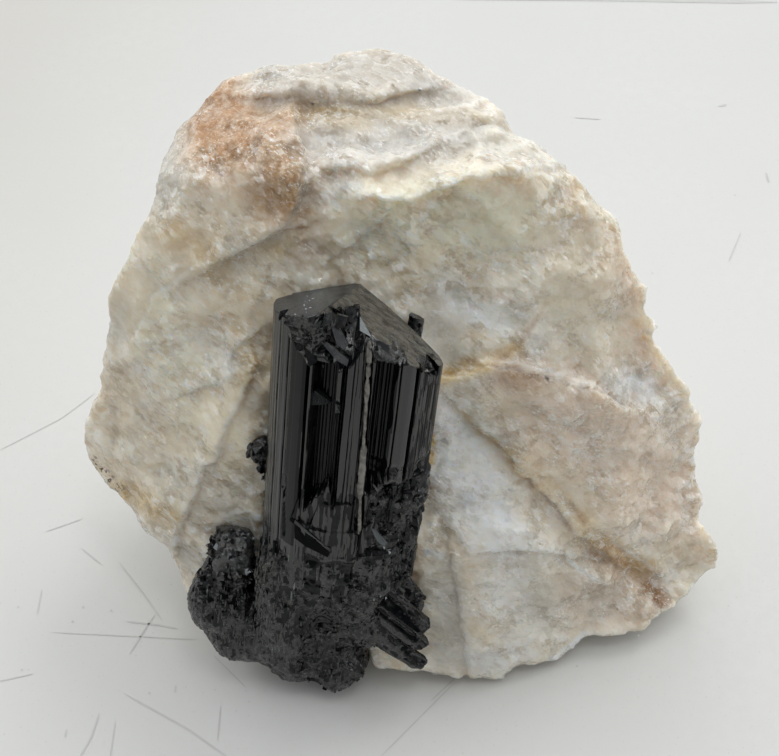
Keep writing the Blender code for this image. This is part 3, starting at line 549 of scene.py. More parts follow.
class Nodes:
    """Short names for building the node tree of a material, or of the sky."""

    def __init__(self, look, shader="Principled BSDF", place="Object"):
        self.look = look
        look.use_nodes = True
        self.tree = look.node_tree
        self.shader = self.tree.nodes[shader]
        self.place = self.add("ShaderNodeTexCoord").outputs[place]
        self.colour = None

    def add(self, kind, **settings):
        node = self.tree.nodes.new(kind)
        for key, value in settings.items():
            setattr(node, key, value)
        return node

    def put(self, socket, value):
        """A link when value is a socket, and otherwise a constant."""
        if isinstance(value, bpy.types.NodeSocket):
            self.tree.links.new(value, socket)
        elif isinstance(value, tuple) and len(value) == 3 and socket.type == "RGBA":
            socket.default_value = (*value, 1.0)
        else:
            socket.default_value = value

    def math(self, operation, a, b=0.0, clamp=False):
        node = self.add("ShaderNodeMath", operation=operation, use_clamp=clamp)
        self.put(node.inputs[0], a)
        self.put(node.inputs[1], b)
        return node.outputs[0]

    def times(self, a, b):
        return self.math("MULTIPLY", a, b)

    def vector(self, operation, a, b=(0.0, 0.0, 0.0), scale=None):
        node = self.add("ShaderNodeVectorMath", operation=operation)
        self.put(node.inputs[0], a)
        self.put(node.inputs[1], b)
        if scale is not None:
            self.put(node.inputs["Scale"], scale)
        return node.outputs[0]

    def along(self, way):
        """How far the place lies along a direction."""
        node = self.add("ShaderNodeVectorMath", operation="DOT_PRODUCT")
        self.put(node.inputs[0], self.place)
        node.inputs[1].default_value = way
        return node.outputs["Value"]

    def mask(self, name):
        return self.add("ShaderNodeAttribute", attribute_name=name).outputs["Fac"]

    def without(self, name, amount):
        """1, and less where the mask is strong."""
        return self.math("SUBTRACT", 1.0, self.times(self.mask(name), amount))

    def stretched(self, scale, turn):
        """Turned coordinates in which scale metres are 1."""
        node = self.add("ShaderNodeMapping", vector_type="TEXTURE")
        self.put(node.inputs["Vector"], self.place)
        node.inputs["Rotation"].default_value = turn
        node.inputs["Scale"].default_value = scale
        return node.outputs[0]

    def texture(self, kind, size, at, **settings):
        """A texture whose features are size millimetres across, or size units of the coordinates at."""
        node = self.add(kind, **settings)
        self.put(node.inputs["Vector"], at or self.place)
        node.inputs["Scale"].default_value = 1.0 / (size * MM) if at is None else 1.0 / size
        return node

    def noise(self, size, detail=3.0, rough=0.5, at=None, warp=0.0, output="Fac"):
        node = self.texture("ShaderNodeTexNoise", size, at)
        node.inputs["Detail"].default_value = detail
        node.inputs["Roughness"].default_value = rough
        node.inputs["Distortion"].default_value = warp
        return node.outputs[output]

    def cells(self, size, at=None, feature="F1", output="Color"):
        return self.texture("ShaderNodeTexVoronoi", size, at, feature=feature).outputs[output]

    def band(self, value, low, high, out_low=0.0, out_high=1.0, course="SMOOTHSTEP"):
        """value from low..high to out_low..out_high, clamped."""
        node = self.add("ShaderNodeMapRange", interpolation_type=course)
        self.put(node.inputs["Value"], value)
        limits = {"From Min": low, "From Max": high, "To Min": out_low, "To Max": out_high}
        for key, number in limits.items():
            node.inputs[key].default_value = number
        return node.outputs[0]

    def mix(self, share, a, b, blend="MIX"):
        node = self.add("ShaderNodeMix", data_type="RGBA", blend_type=blend)
        self.put(node.inputs[0], share)
        self.put(node.inputs[6], a)
        self.put(node.inputs[7], b)
        return node.outputs[2]

    def cover(self, share, tint, blend="MIX"):
        """Lays a tint over the colour that the material has so far."""
        self.colour = self.mix(share, self.colour, tint, blend)

    def bump(self, height, depth, strength=1.0, normal=None):
        node = self.add("ShaderNodeBump")
        self.put(node.inputs["Height"], height)
        node.inputs["Distance"].default_value = depth * MM
        node.inputs["Strength"].default_value = strength
        if normal is not None:
            self.put(node.inputs["Normal"], normal)
        return node.outputs[0]

    def glints(self, size, amount, at=None, normal=None):
        """The normal tipped at random in every little cell, so that each grain shines on its own."""
        if normal is None:
            normal = self.add("ShaderNodeNewGeometry").outputs["Normal"]
        tip = self.vector("SUBTRACT", self.cells(size, at), (0.5, 0.5, 0.5))
        tipped = self.vector("ADD", normal, self.vector("SCALE", tip, scale=amount))
        return self.vector("NORMALIZE", tipped)

    def blend(self, share, a, b):
        """A normal between two others."""
        node = self.add("ShaderNodeMix", data_type="VECTOR")
        self.put(node.inputs[0], share)
        self.put(node.inputs[4], a)
        self.put(node.inputs[5], b)
        return self.vector("NORMALIZE", node.outputs[1])

    def finish(self, **sockets):
        """Sets the shader's sockets, whose names have an underscore for every space."""
        for name, value in sockets.items():
            self.put(self.shader.inputs[name.replace("_", " ")], value)
        return self.look


def new_look(name):
    """The nodes of a new material."""
    return Nodes(bpy.data.materials.new(name))


def quartz_look():
    """Milky and translucent, with stains, calm patches, and sugary ones where each grain glints, with
    painted glints, and painted light and shade at the ledges and turned faces.
    """
    n = new_look("milky_quartz_look")
    broken = n.noise(5.0, 5.0, 0.6)
    cloud = n.noise(16.0, 4.0, 0.6, warp=0.6)
    puff = n.noise(4.5, 4.0, 0.6, warp=0.3)
    fine = n.noise(1.3, 4.0, 0.65)
    turn = tuple((FACE.to_3x3() @ Matrix.Rotation(math.radians(-38), 3, "Z")).to_euler())
    long_grains = n.stretched((0.0011, 0.00042, 0.0005), turn)
    painted_glints_and_dull_grains = n.noise(1.0, 3.0, 0.6, at=long_grains)
    painted_glint_dots = n.noise(0.55, 2.0, 0.55)
    uneven = n.math("ADD", n.math("SUBTRACT", broken, 0.5), n.math("SUBTRACT", fine, 0.5))

    def swayed(grain, size, amount):
        """Stretched coordinates that a noise pushes to and fro."""
        sway = n.vector("SCALE", n.noise(size, 3.0, 0.6, output="Color"), scale=amount)
        return n.vector("ADD", n.stretched(grain, turn), sway)

    def ragged(name):
        """The mask with an uneven edge."""
        mask = n.mask(name)
        return n.math("ADD", mask, n.times(n.times(uneven, 1.8), mask), clamp=True)

    plane_at = swayed((0.011, 0.007, 0.009), 9.0, 0.7)
    plane = n.cells(1.0, at=plane_at)
    rim = n.cells(1.0, at=plane_at, feature="DISTANCE_TO_EDGE", output="Distance")
    crystal_at = swayed((0.0026, 0.0013, 0.0016), 2.2, 1.6)
    crystal = n.cells(1.0, at=crystal_at)

    n.colour = n.mix(n.band(cloud, 0.4, 0.6), (0.84, 0.73, 0.56), (0.91, 0.845, 0.71))
    n.cover(n.band(puff, 0.5, 0.72, 0.0, 0.4), (0.87, 0.84, 0.78))
    n.cover(n.band(plane, 0.35, 0.7, 0.0, 0.3), (0.92, 0.89, 0.83))
    for name, tint in STAINS:
        n.cover(ragged(name), tint)
    # A greyish tint of the quartz's own, and painted shade on the top slab and on faces that turn away from
    # the front
    n.cover(n.mask("grey_and_painted_shade"), (0.50, 0.47, 0.42))
    # Painted light and shade beside the ledges: paler on the lit side, darker on the shaded side
    painted_ledge_light_and_shade = n.mask("painted_ledge_light_and_shade")
    n.cover(n.band(painted_ledge_light_and_shade, 0.0, 1.0, 0.0, 0.45), (0.82, 0.79, 0.73))
    n.cover(n.band(painted_ledge_light_and_shade, 0.0, -1.0, 0.0, 0.35), (0.33, 0.28, 0.22))
    n.cover(ragged("light"), (0.97, 0.87, 0.68))

    # Light and dull grains of the sugary patches; the whitest flecks are painted glints
    sugary = n.times(n.band(n.noise(8.0, 4.0, 0.65), 0.46, 0.6, 0.25, 1.0), n.without("clear", 0.8))
    for grain, low, high, strength, tint in (
            (crystal, 0.6, 0.8, 0.5, (0.92, 0.89, 0.82)), (crystal, 0.4, 0.2, 0.3, (0.56, 0.47, 0.35)),
            (painted_glints_and_dull_grains, 0.55, 0.66, 1.0, (0.97, 0.95, 0.91)), (painted_glint_dots, 0.62, 0.72, 0.8, (0.97, 0.96, 0.93))):
        n.cover(n.times(n.band(grain, low, high, 0.0, strength), sugary), tint)
    dull = n.times(n.band(painted_glints_and_dull_grains, 0.44, 0.3, 0.0, 0.3), n.times(sugary, n.without("milk", 0.7)))
    n.cover(dull, (0.46, 0.37, 0.28))

    # A painted highlight along the ledges' edges
    n.cover(n.times(n.mask("edge"), n.band(fine, 0.3, 0.6, 0.2, 1.0)), (0.95, 0.94, 0.91))
    crack = n.times(n.band(rim, 0.03, 0.0), n.band(broken, 0.5, 0.62, 0.0, 0.35))
    n.cover(crack, (0.96, 0.95, 0.92))
    n.cover(n.times(n.mask("dirt"), n.band(n.noise(0.8, 2.0), 0.54, 0.62)), (0.13, 0.09, 0.06))

    gloss = n.band(n.noise(2.2, 3.0), 0.4, 0.62, 0.22, 0.07)
    calm = n.bump(puff, 0.5, 0.7, n.glints(1.0, 0.45, at=plane_at))
    calm = n.glints(1.0, 0.3, at=crystal_at, normal=calm)
    sharp = n.glints(1.0, 0.8, at=crystal_at, normal=calm)
    sharp = n.glints(1.0, 1.0, at=long_grains, normal=sharp)
    normal = n.blend(n.band(sugary, 0.1, 0.7, 0.25, 1.0), calm, sharp)
    return n.finish(
        Base_Color=n.colour, Roughness=gloss, Normal=normal, IOR=1.54, Subsurface_Weight=1.0,
        Subsurface_Radius=(1.0, 0.85, 0.68), Subsurface_Scale=0.0035)


def tourmaline_look():
    """Black and glossy, striated along the crystal, and glinting grain by grain where it is broken, with
    painted glint specks there.
    """
    n = new_look("black_tourmaline_look")
    turn = tuple((FACE.to_3x3() @ CRYSTAL_TURN.to_matrix()).to_euler())
    fibres = n.stretched((0.00035, 0.02, 0.00035), turn)
    fine = n.noise(1.0, 3.0, 0.6, at=fibres)
    broad = n.noise(3.0, 2.0, 0.5, at=fibres)
    broken = n.mask("broken")
    patch = n.noise(2.4, 4.0, 0.65)
    grain = n.noise(0.5, 3.0, 0.7)
    n.colour = n.mix(n.band(broad, 0.4, 0.65), (0.003, 0.0034, 0.004), (0.008, 0.0075, 0.0065))
    n.cover(n.times(broken, n.band(patch, 0.45, 0.7)), (0.014, 0.0135, 0.0125))
    # Painted glints: small whitish specks over the broken tourmaline
    specks = n.times(n.band(n.noise(0.5, 2.0, 0.6), 0.6, 0.7), n.band(broken, 0.1, 0.5))
    n.cover(n.times(specks, 0.9), (0.14, 0.145, 0.145))
    scuffed = n.noise(1.4, 4.0, 0.7, at=n.stretched((0.004, 0.0008, 0.0008), turn))
    n.cover(n.times(n.mask("dust"), n.band(scuffed, 0.3, 0.7, 0.15, 1.0)), (0.115, 0.107, 0.09))
    n.cover(n.mask("haze"), (0.006, 0.012, 0.021))
    # Whitish flakes and specks of their own, and painted glints on some splinters and on the lump's top
    n.cover(n.mask("frost_and_glint"), (0.30, 0.34, 0.36))
    gloss = n.math(
        "ADD", n.band(fine, 0.3, 0.7, 0.13, 0.28), n.times(broken, n.band(patch, 0.4, 0.6, -0.05, 0.3)))
    smooth = n.bump(n.math("ADD", fine, n.times(grain, 0.15)), 0.05, 0.8)
    sharp = n.glints(0.7, 1.1, normal=n.bump(grain, 0.2, 0.9))
    return n.finish(
        Base_Color=n.colour, Roughness=gloss, Normal=n.blend(broken, smooth, sharp), IOR=1.61)


def shaded_look():
    """The tourmaline of its hollows, its low broken places and its one dark face, which hardly shine: a
    darker, duller copy, as painted shade.
    """
    n = new_look("shaded_tourmaline_look")
    patch = n.noise(2.0, 3.0, 0.6)
    colour = n.mix(n.band(patch, 0.4, 0.65), (0.002, 0.0024, 0.003), (0.005, 0.0055, 0.006))
    return n.finish(Base_Color=colour, Roughness=n.band(patch, 0.35, 0.7, 0.14, 0.26), IOR=1.3)


def gap_shade_look():
    """Painted shade for the open gaps: black, with no shine."""
    n = new_look("tourmaline_gap_shade_look")
    colour = n.mix(n.band(n.noise(1.5, 2.0), 0.5, 0.7), (0.0015, 0.0016, 0.002), (0.004, 0.0044, 0.005))
    return n.finish(Base_Color=colour, Roughness=0.7, Specular_IOR_Level=0.1)


def vein_look():
    """The dull quartz of the seam in the crystal."""
    n = new_look("seam_quartz_look")
    patch = n.noise(1.6, 4.0, 0.6)
    colour = n.mix(n.band(patch, 0.35, 0.65), (0.10, 0.095, 0.085), (0.27, 0.25, 0.22))
    gloss = n.band(patch, 0.3, 0.7, 0.5, 0.3)
    return n.finish(Base_Color=colour, Roughness=gloss, Normal=n.bump(patch, 0.3, 0.8), IOR=1.54)


def table_look():
    """Pale and mottled, with painted shade that makes it a little darker to the left."""
    n = new_look("table_look")
    cloud = n.noise(60.0, 4.0, 0.55)
    fine = n.noise(2.0, 3.0, 0.6)
    n.colour = n.mix(cloud, (0.61, 0.607, 0.58), (0.68, 0.677, 0.652))
    n.cover(n.band(n.noise(3.5, 4.0, 0.7), 0.35, 0.65), (0.64, 0.636, 0.61))
    n.cover(n.band(n.noise(0.9, 3.0, 0.6), 0.62, 0.75, 0.0, 0.35), (0.42, 0.415, 0.39))
    # Painted shade: darker towards the left
    n.cover(n.band(n.along((-1.0, 0.25, 0.0)), 0.07, 0.22), (0.90, 0.88, 0.85), "MULTIPLY")
    normal = n.bump(fine, 0.05, 0.3)
    return n.finish(Base_Color=n.colour, Roughness=0.6, Normal=normal, Specular_IOR_Level=0.2)


def scratch_look():
    """The table's scratches and spots, a little darker than the table."""
    n = new_look("scratch_look")
    colour = n.mix(n.noise(4.0, 3.0, 0.6), (0.48, 0.475, 0.45), (0.61, 0.605, 0.58))
    return n.finish(Base_Color=colour, Roughness=0.7)


# ---------------------------------------------------------------- quartz


def build_quartz(look):
    """The block, broken anew over its solid: finest in front, where the ledges and the stains are."""
    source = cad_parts["quartz_matrix"].data.copy()
    mesh = remeshed(source, QUARTZ_GRID)
    out_way = np.array(FACE)[:3, 2]
    bm = bmesh.new()
    bm.from_mesh(mesh)
    bm.normal_update()
    near = [face for face in bm.faces if face.normal.dot(Vector(out_way)) > FRONT_LIMIT]
    front_edges = list({edge for face in near for edge in face.edges})
    bmesh.ops.subdivide_edges(bm, edges=front_edges, cuts=1, use_grid_fill=True)
    bm.to_mesh(mesh)
    bm.free()
    world = softened(mesh)
    normals = get_normals(mesh)
    face = moved(world, FACE.inverted())
    front = rising(-0.3, 0.35, normals @ out_way)

    right = face[:, 0] + 0.5 * ripple(face, 2.6, 5, 2)
    up = face[:, 1] + 0.5 * ripple(face, 2.6, 8, 2)
    masks = {name: np.zeros(len(face)) for name in (*VEILS, "painted_ledge_light_and_shade", "edge")}
    for name, veils in VEILS.items():
        for width, strength, *line in veils:
            reach, _ = line_reach(right, up, line)
            shade = falling(0.25 * width, 1.4 * width, reach) * strength * front
            masks[name] = np.maximum(masks[name], shade)
    # Painted shade on the faces that turn away from the front
    turned = falling(0.2, 0.75, normals @ out_way)
    masks["grey_and_painted_shade"] = np.maximum(masks["grey_and_painted_shade"], 0.55 * turned * front)

    # Facets from coarse to fine, then the ledges with their painted light and shade
    calm = 1 - 0.8 * masks["clear"]
    lift = 0.6 * facets(face, 16.0, 0.2, 0.22, 0.08, 1)
    lift += 0.7 * calm * facets(face, 6.0, 0.25, 0.3, 0.1, 2)
    lift += 0.65 * calm * facets(face * (1.0, 1.5, 1.0), 2.6, 0.25, 0.35, 0.12, 3)
    lift += calm * 0.1 * ripple(face, 1.6, 4)
    for height, extent, shade, edge_highlight, *line in LEDGES:
        away, side = line_reach(right, up, line)
        fade = np.exp(-away / extent) * front
        lift += 0.5 * height * side * rising(0.0, 0.35, away) * fade
        fade = np.exp(-away / (0.7 * extent)) * front
        # Painted light and shade beside each ledge, and a painted highlight along it
        masks["painted_ledge_light_and_shade"] += shade * side * rising(0.0, 0.3, away) * fade
        masks["edge"] = np.maximum(masks["edge"], edge_highlight * np.exp(-(away / 0.45) ** 2) * front)
    stay = rising(0.3, 3.0, world[:, 2])
    world = world + normals * (lift * stay)[:, None]
    low, high = (np.array(corner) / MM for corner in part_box("quartz_matrix"))
    world = np.clip(world, low + 0.02, high - 0.02)
    set_points(mesh, world * MM)
    for name, values in masks.items():
        add_mask(mesh, name, values)
    new_object("quartz_block", mesh, look, "quartz_matrix")


# ---------------------------------------------------------------- tourmaline


def cap_planes(across, out):
    """How far along the crystal each of its two end faces lies."""
    return [APEX.y + side * (across - APEX.x) + front * out for side, front in END_FACES]


def cap_height(across, out):
    """How far along the crystal its end lies, under both end faces."""
    return np.minimum(*cap_planes(across, out))


def grid_faces(rows, columns):
    """Quads between the points of a closed grid that are numbered row by row."""
    row = np.arange(rows - 1)[:, None] * columns
    here = np.arange(columns)[None, :]
    after = (here + 1) % columns
    corners = [row + here, row + after, row + columns + after, row + columns + here]
    return np.stack(corners, -1).reshape(-1, 4)


def placed_mesh(name, points, faces):
    """A mesh from points in millimetres in the crystal's frame."""
    mesh = bpy.data.meshes.new(name)
    mesh.from_pydata(moved(points, AXIS) * MM, [], faces)
    mesh.update()
    return mesh


def shade_dark(mesh, shaded, dark):
    """Gives the shaded material, as painted shade, to the faces whose points are mostly dark."""
    mesh.materials.append(shaded)
    chosen = [dark[list(face.vertices)].mean() > 0.5 for face in mesh.polygons]
    mesh.polygons.foreach_set("material_index", np.array(chosen, np.int32))


def outline_columns():
    """The outline in even steps, finer in front, and its outward directions."""
    corners = np.array(OUTLINE + OUTLINE[:1])
    gaps = np.hypot(*np.diff(corners, axis=0).T)
    run = np.concatenate([[0], np.cumsum(gaps)])
    first, last = run[SEEN_FROM], run[SEEN_TO]
    stops = np.concatenate([
        np.arange(0, first, LEFT_STEP), np.arange(first, last, SEEN_STEP),
        np.arange(last, run[-1] - 0.5 * BACK_STEP, BACK_STEP)])
    across = np.interp(stops, run, corners[:, 0])
    out = np.interp(stops, run, corners[:, 1])
    ahead = np.roll(np.stack([across, out]), -3, axis=1) - np.roll(np.stack([across, out]), 3, axis=1)
    ahead /= np.hypot(*ahead)
    return across, out, np.stack([-ahead[1], ahead[0]]), stops < last


def prism_dip(across, along):
    """How far the surface lies inside the smooth outline, where it gets painted shade (bands, hollows and
    the one dark face), and where it is dented.
    """
    dip = np.zeros(across.shape)
    deep = np.zeros(across.shape)
    dented = np.zeros(across.shape)
    sway = across + 0.04 * np.sin(along * 0.23 + across * 2.0)
    for left, right, depth, start, end in BANDS:
        middle, half = (left + right) / 2, (right - left) / 2
        inside = np.clip(1 - np.abs(sway - middle) / half, 0, 1)
        start = start + 2.0 * math.sin(left * 7)
        ends = rising(start, start + 3, along) * falling(end - 0.6, end, along)
        dip = np.maximum(dip, depth * inside * ends)
        deep = np.maximum(deep, (inside > 0) * ends)
    for left, right, low_left, low_right, high, deep_left, deep_right in HOLLOWS:
        share = np.clip((across - left) / (right - left), 0, 1)
        inside = rising(left - 0.06, left + 0.1, sway) * falling(right - 0.1, right + 0.06, sway)
        floor = deep_left + (deep_right - deep_left) * share
        foot = low_left + (low_right - low_left) * share + 0.4 * np.sin(across * 5.0)
        ends = np.clip((along - foot) / 1.1, 0, 1) * falling(high - 0.5, high, along)
        slats = 0.2 * np.abs(np.sin(across * 4.3 + 1.0)) + 0.1 * np.abs(np.sin(across * 9.7))
        dip = np.maximum(dip, inside * ends * (floor + slats))
        deep = np.maximum(deep, inside * rising(0.1, 0.5, ends))
    for middle, level, half_across, half_along, turn, depth in DENTS:
        turn = math.radians(turn)
        x = (across - middle) * math.cos(turn) + (along - level) * math.sin(turn)
        y = (along - level) * math.cos(turn) - (across - middle) * math.sin(turn)
        inside = falling(0.9, 1.0, np.abs(x) / half_across)
        inside = inside * falling(0.85, 1.0, np.abs(y) / half_along)
        dip = np.maximum(dip, depth * inside * (0.75 + 0.25 * y / half_along))
        dented = np.maximum(dented, inside)
    seam_middle = np.interp(-along, [-s[0] for s in SEAM], [s[1] for s in SEAM])
    groove = falling(*GROOVE_SIDE, np.abs(across - seam_middle))
    groove = groove * rising(*GROOVE_FOOT, along) * falling(*GROOVE_TOP, along)
    left, right = SMOOTH_FACE
    smooth = rising(left - 0.05, left + 0.05, across) * falling(right - 0.05, right + 0.05, across)
    deep = np.maximum(deep, smooth * rising(2.0, 8.0, along))
    return np.maximum(dip, GROOVE_DEPTH * groove), deep, dented


def zone(edges, across, along):
    """1 to the right of two soft edges and below the other two."""
    return rising(*edges[:2], across) * falling(*edges[2:], along)


def on_rib(rib, across):
    """1 on a rib or a face, and 0 a little beside it."""
    return rising(rib[0] - 0.1, rib[0], across) * falling(rib[1], rib[1] + 0.1, across)


def smooth_wall(across, out):
    """The wall in rows up the crystal, drawn in where its top is broken off, and where that is."""
    places, begins, reaches = np.array(BROKEN_TOP).T
    start = np.interp(across, places, begins, left=90, right=90)
    reach = np.interp(across, places, reaches, left=90, right=90)
    is_front = (out > 0) & (across > BROKEN_SPAN[0]) & (across < BROKEN_SPAN[1])
    top_out = np.where(is_front, np.minimum(out, reach), out)
    top = cap_height(across, top_out)
    start = np.where(is_front, np.minimum(start, top - 0.3), top)
    levels = [np.linspace(low, high, rows, endpoint=high == 1) for low, high, rows in WALL_ROWS]
    along = FOOT + (top - FOOT) * np.concatenate(levels)[:, None]
    share = np.clip((along - start) / np.maximum(top - start, 0.3), 0, 1)
    row_out = out - (out - top_out) * share ** 1.15
    wall = np.stack([np.broadcast_to(across, along.shape), along, row_out], -1)
    return wall, rising(-0.4, 0.1, along - start) * is_front


def build_prism(look, shaded):
    """The ribbed prism with its hollows, its broken places and its end.

    It gives the points of its broken top and of its broken right side.
    """
    column_across, column_out, away, in_front = outline_columns()
    wall, chipped = smooth_wall(column_across, column_out)
    across, along, _ = np.moveaxis(wall, -1, 0)

    def bumps(make, stretch, *settings):
        """Facets or ripples over the smooth wall."""
        return make((wall * stretch).reshape(-1, 3), *settings).reshape(along.shape)

    right_break = zone(RIGHT_BREAK, across + 0.05 * along, along)
    middle_break = zone(MIDDLE_BREAK, across, along)
    grainy = zone(GRAINY, across, along + 0.5 * np.sin(across))
    low_break = falling(*LOW_BREAK, along)
    breaks = [chipped, right_break, middle_break * 0.15, grainy, low_break * 0.7]
    rough = np.maximum.reduce(breaks) * in_front
    dip, deep, dented = prism_dip(across, along)
    plain = (1 - chipped) * in_front
    lines = bumps(ripple, (1 / 0.26, 1 / 40.0, 1 / 0.26), 1.0, 21, 2)
    slats = bumps(facets, (1.0, 0.012, 0.0), 0.85, 0.1, 0.7, 0.15, 26)
    fine = (0.045 * lines + 0.5 * slats) * (1 - 0.85 * on_rib(SMOOTH_FACE, across))
    fine = fine * (1 - 0.6 * on_rib(WIDE_RIB, across)) * (1 - 0.8 * rough) * (1 - dented)

    chips = bumps(facets, (1.0, 0.8, 1.0), 2.7, 0.35, 2.0, 0.8, 23)
    chips += 0.6 * bumps(facets, (0.8, 1.5, 1.0), 1.1, 0.4, 1.6, 0.6, 24)
    fibres = bumps(facets, (1.0, 0.16, 1.0), 1.3, 0.2, 1.5, 0.5, 28)
    plates = bumps(facets, (1.0, 0.55, 1.0), 4.2, 0.05, 0.7, 0.1, 29)
    streaks = bumps(ripple, (1 / 0.5, 1 / 5.0, 1 / 0.5), 1.0, 30, 3)
    far_right = rising(16.3, 16.6, across) * in_front
    # Painted shade: the low places of the broken surfaces, and streaks on the far right and in the middle
    # break
    painted_shade_places = np.maximum.reduce([
        (chips < np.percentile(chips[chipped > 0.5], DARK_TOP)) * chipped,
        0.9 * (chips < np.percentile(chips[right_break > 0.5], DARK_RIGHT)) * right_break,
        grainy * (chips + 1.2 * fibres + 0.4 * streaks < 0.0),
        low_break * (fibres + 0.3 * streaks < -0.1),
        0.9 * far_right * (streaks < 0.15),
        0.9 * middle_break * (1 - grainy) * (streaks < 0.05)])
    shift = fine * in_front - dip * plain - 0.35 * rough + 0.5 * plates * middle_break * in_front
    shift += rough * (chips * np.where(chipped > 0.5, 0.7, 0.4) + 0.45 * fibres * (chipped < 0.5))
    broken_wall = wall + np.stack([away[0] * shift, 0 * shift, away[1] * shift], -1)

    points = np.concatenate([broken_wall, cap_rings(broken_wall[-1])]).reshape(-1, 3)
    on_cap = np.arange(len(points)) >= along.size

    def whole(values):
        """Values of the wall's points, and 0 for the cap's."""
        return np.concatenate([values.ravel(), np.zeros(on_cap.sum())])

    columns = len(column_across)
    mesh = placed_mesh("prism", points, grid_faces(len(points) // columns, columns))
    add_mask(mesh, "broken", whole(0.35 * rough))
    high_left, high_right = cap_planes(points[:, 0], points[:, 2])
    add_mask(mesh, "dust", on_cap * rising(-0.1, 0.3, high_left - high_right))
    add_mask(mesh, "haze", on_cap * rising(-0.1, 0.3, high_right - high_left))
    new_object("tourmaline_prism", mesh, look, "tourmaline_crystal")
    shade_dark(mesh, shaded, whole(np.maximum(deep * plain, painted_shade_places)))
    open_right = right_break * (in_front & (column_out > 2))
    return broken_wall[chipped > 0.7], broken_wall[open_right > 0.7]


def cap_rings(rim):
    """The rows of the prism's end, from its rim in to a line along its middle."""
    spine = np.clip(rim[:, 0], *CAP_SPINE)
    rings = []
    for step in CAP_RINGS:
        across = rim[:, 0] + (spine - rim[:, 0]) * step
        out = rim[:, 2] + (CAP_MIDDLE_OUT - rim[:, 2]) * step
        high = cap_height(across, out)
        uneven = ripple(np.stack([across, out * 3, high * 0], -1), 3.0, 27, 3)
        high = high + np.where(across > APEX.x + 1, 0.14 * uneven, 0.01 * uneven) * (step < 1)
        rings.append(np.stack([across, high, out], -1))
    return rings


def build_gap_shade_sheets(look):
    """Black sheets of painted shade in the gaps between the plates of the lower front."""
    shard_piece("tourmaline_gap_shade_sheets", [slab(corners, 0.5) for corners in GAP_SHADE_SHEETS], look, 0.0, [0.0] * len(GAP_SHADE_SHEETS))


def build_chips(look, broken_top, broken_right):
    """Splinters over the prism's two broken places, and the single flakes and specks."""
    choice = np.random.default_rng(5)
    cloud = []
    for places, (number, sunk, *manner) in zip((broken_top, broken_right), PRISM_SPLINTERS):
        spots = choice.choice(len(places), number, replace=False)
        cloud += shards(places[spots] - (0, 0, sunk), *manner, choice)
    frost_and_glint = [0.0] * len(cloud)
    for frost_and_glint_share, thick, *corners in FLAKES:
        cloud.append(slab(corners, thick))
        frost_and_glint.append(frost_and_glint_share)
    for speck, (a, d) in enumerate(SPECKS):
        middle = np.array((a, cap_height(a, d) + 0.02, d))
        size = SPECK_SIZE * (0.6 + 0.8 * abs(math.sin(speck * 2.1)))
        cloud.append(middle + choice.normal(size=(6, 3)) * (size, 0.05, size))
        frost_and_glint.append(1.0)
    shard_piece("tourmaline_chips", cloud, look, 0.12, frost_and_glint)


def slab(corners, thick):
    """The corners of a flake: those that show, and the same ones behind them."""
    corners = np.array(corners)
    return np.concatenate([corners, corners - (0, 0, thick)])


def shards(spots, sizes, stretch, spin, choice):
    """Small sharp splinters about some spots, in the crystal's frame: the points of each."""
    made = []
    for spot in spots:
        spread = choice.normal(size=(9, 3))
        spread /= np.linalg.norm(spread, axis=1)[:, None]
        turn = Euler(choice.uniform(-1, 1, 3) * math.pi * spin).to_matrix()
        size = sizes[0] + (sizes[1] - sizes[0]) * choice.random() ** 2
        made.append(spot + (spread * stretch) @ np.array(turn) * size)
    return made


def wrap(bm, corners):
    """The hull of some of the bmesh's points, without those that end up inside it."""
    made = bmesh.ops.convex_hull(bm, input=corners)
    inner = [item for item in made["geom_interior"] if isinstance(item, bmesh.types.BMVert)]
    bmesh.ops.delete(bm, geom=inner, context="VERTS")


def shard_piece(name, cloud, look, broken, frost_and_glint):
    """One object from the splinters, each of them the hull of its points."""
    bm = bmesh.new()
    mask = bm.verts.layers.float.new("frost_and_glint")
    for spots, frost_and_glint_share in zip(cloud, frost_and_glint):
        corners = [bm.verts.new(spot) for spot in spots]
        for corner in corners:
            corner[mask] = frost_and_glint_share
        wrap(bm, corners)
    bmesh.ops.recalc_face_normals(bm, faces=bm.faces)
    mesh = as_mesh(bm, AXIS)
    add_mask(mesh, "broken", np.full(len(mesh.vertices), broken))
    new_object(name, mesh, look, "tourmaline_crystal", smooth=False)


def hull(middle, half, seed):
    """A broken lump: the hull of points scattered over an ellipsoid, as a bmesh in millimetres."""
    random_numbers = Scatter(seed)
    bm = bmesh.new()
    for i in range(LUMP_POINTS):
        height = 1 - 2 * (i + 0.5) / LUMP_POINTS
        turn = i * math.pi * (3 - math.sqrt(5)) + random_numbers.uniform(-0.3, 0.3)
        ring = math.sqrt(1 - height * height)
        reach = random_numbers.uniform(*LUMP_REACH)
        spot = Vector((ring * math.cos(turn), height, ring * math.sin(turn))) * reach
        bm.verts.new(Vector(middle) + spot * Vector(half))
    wrap(bm, bm.verts)
    bmesh.ops.recalc_face_normals(bm, faces=bm.faces)
    return bm


def as_mesh(bm, matrix):
    """The bmesh, in millimetres in one of the frames, as a mesh in metres."""
    mesh = bpy.data.meshes.new("shape")
    bmesh.ops.transform(bm, matrix=matrix, verts=bm.verts)
    bmesh.ops.scale(bm, vec=(MM, MM, MM), verts=bm.verts)
    bm.to_mesh(mesh)
    bm.free()
    return mesh


def joined(meshes):
    """One mesh from several."""
    bm = bmesh.new()
    for mesh in meshes:
        bm.from_mesh(mesh)
    made = bpy.data.meshes.new("joined")
    bm.to_mesh(made)
    bm.free()
    return made


def on_spot(spot, across, along):
    """1 in the middle of a round spot, and less further out."""
    middle, level, half_across, half_along = spot
    return np.exp(-((across - middle) / half_across) ** 2 - ((along - level) / half_along) ** 2)


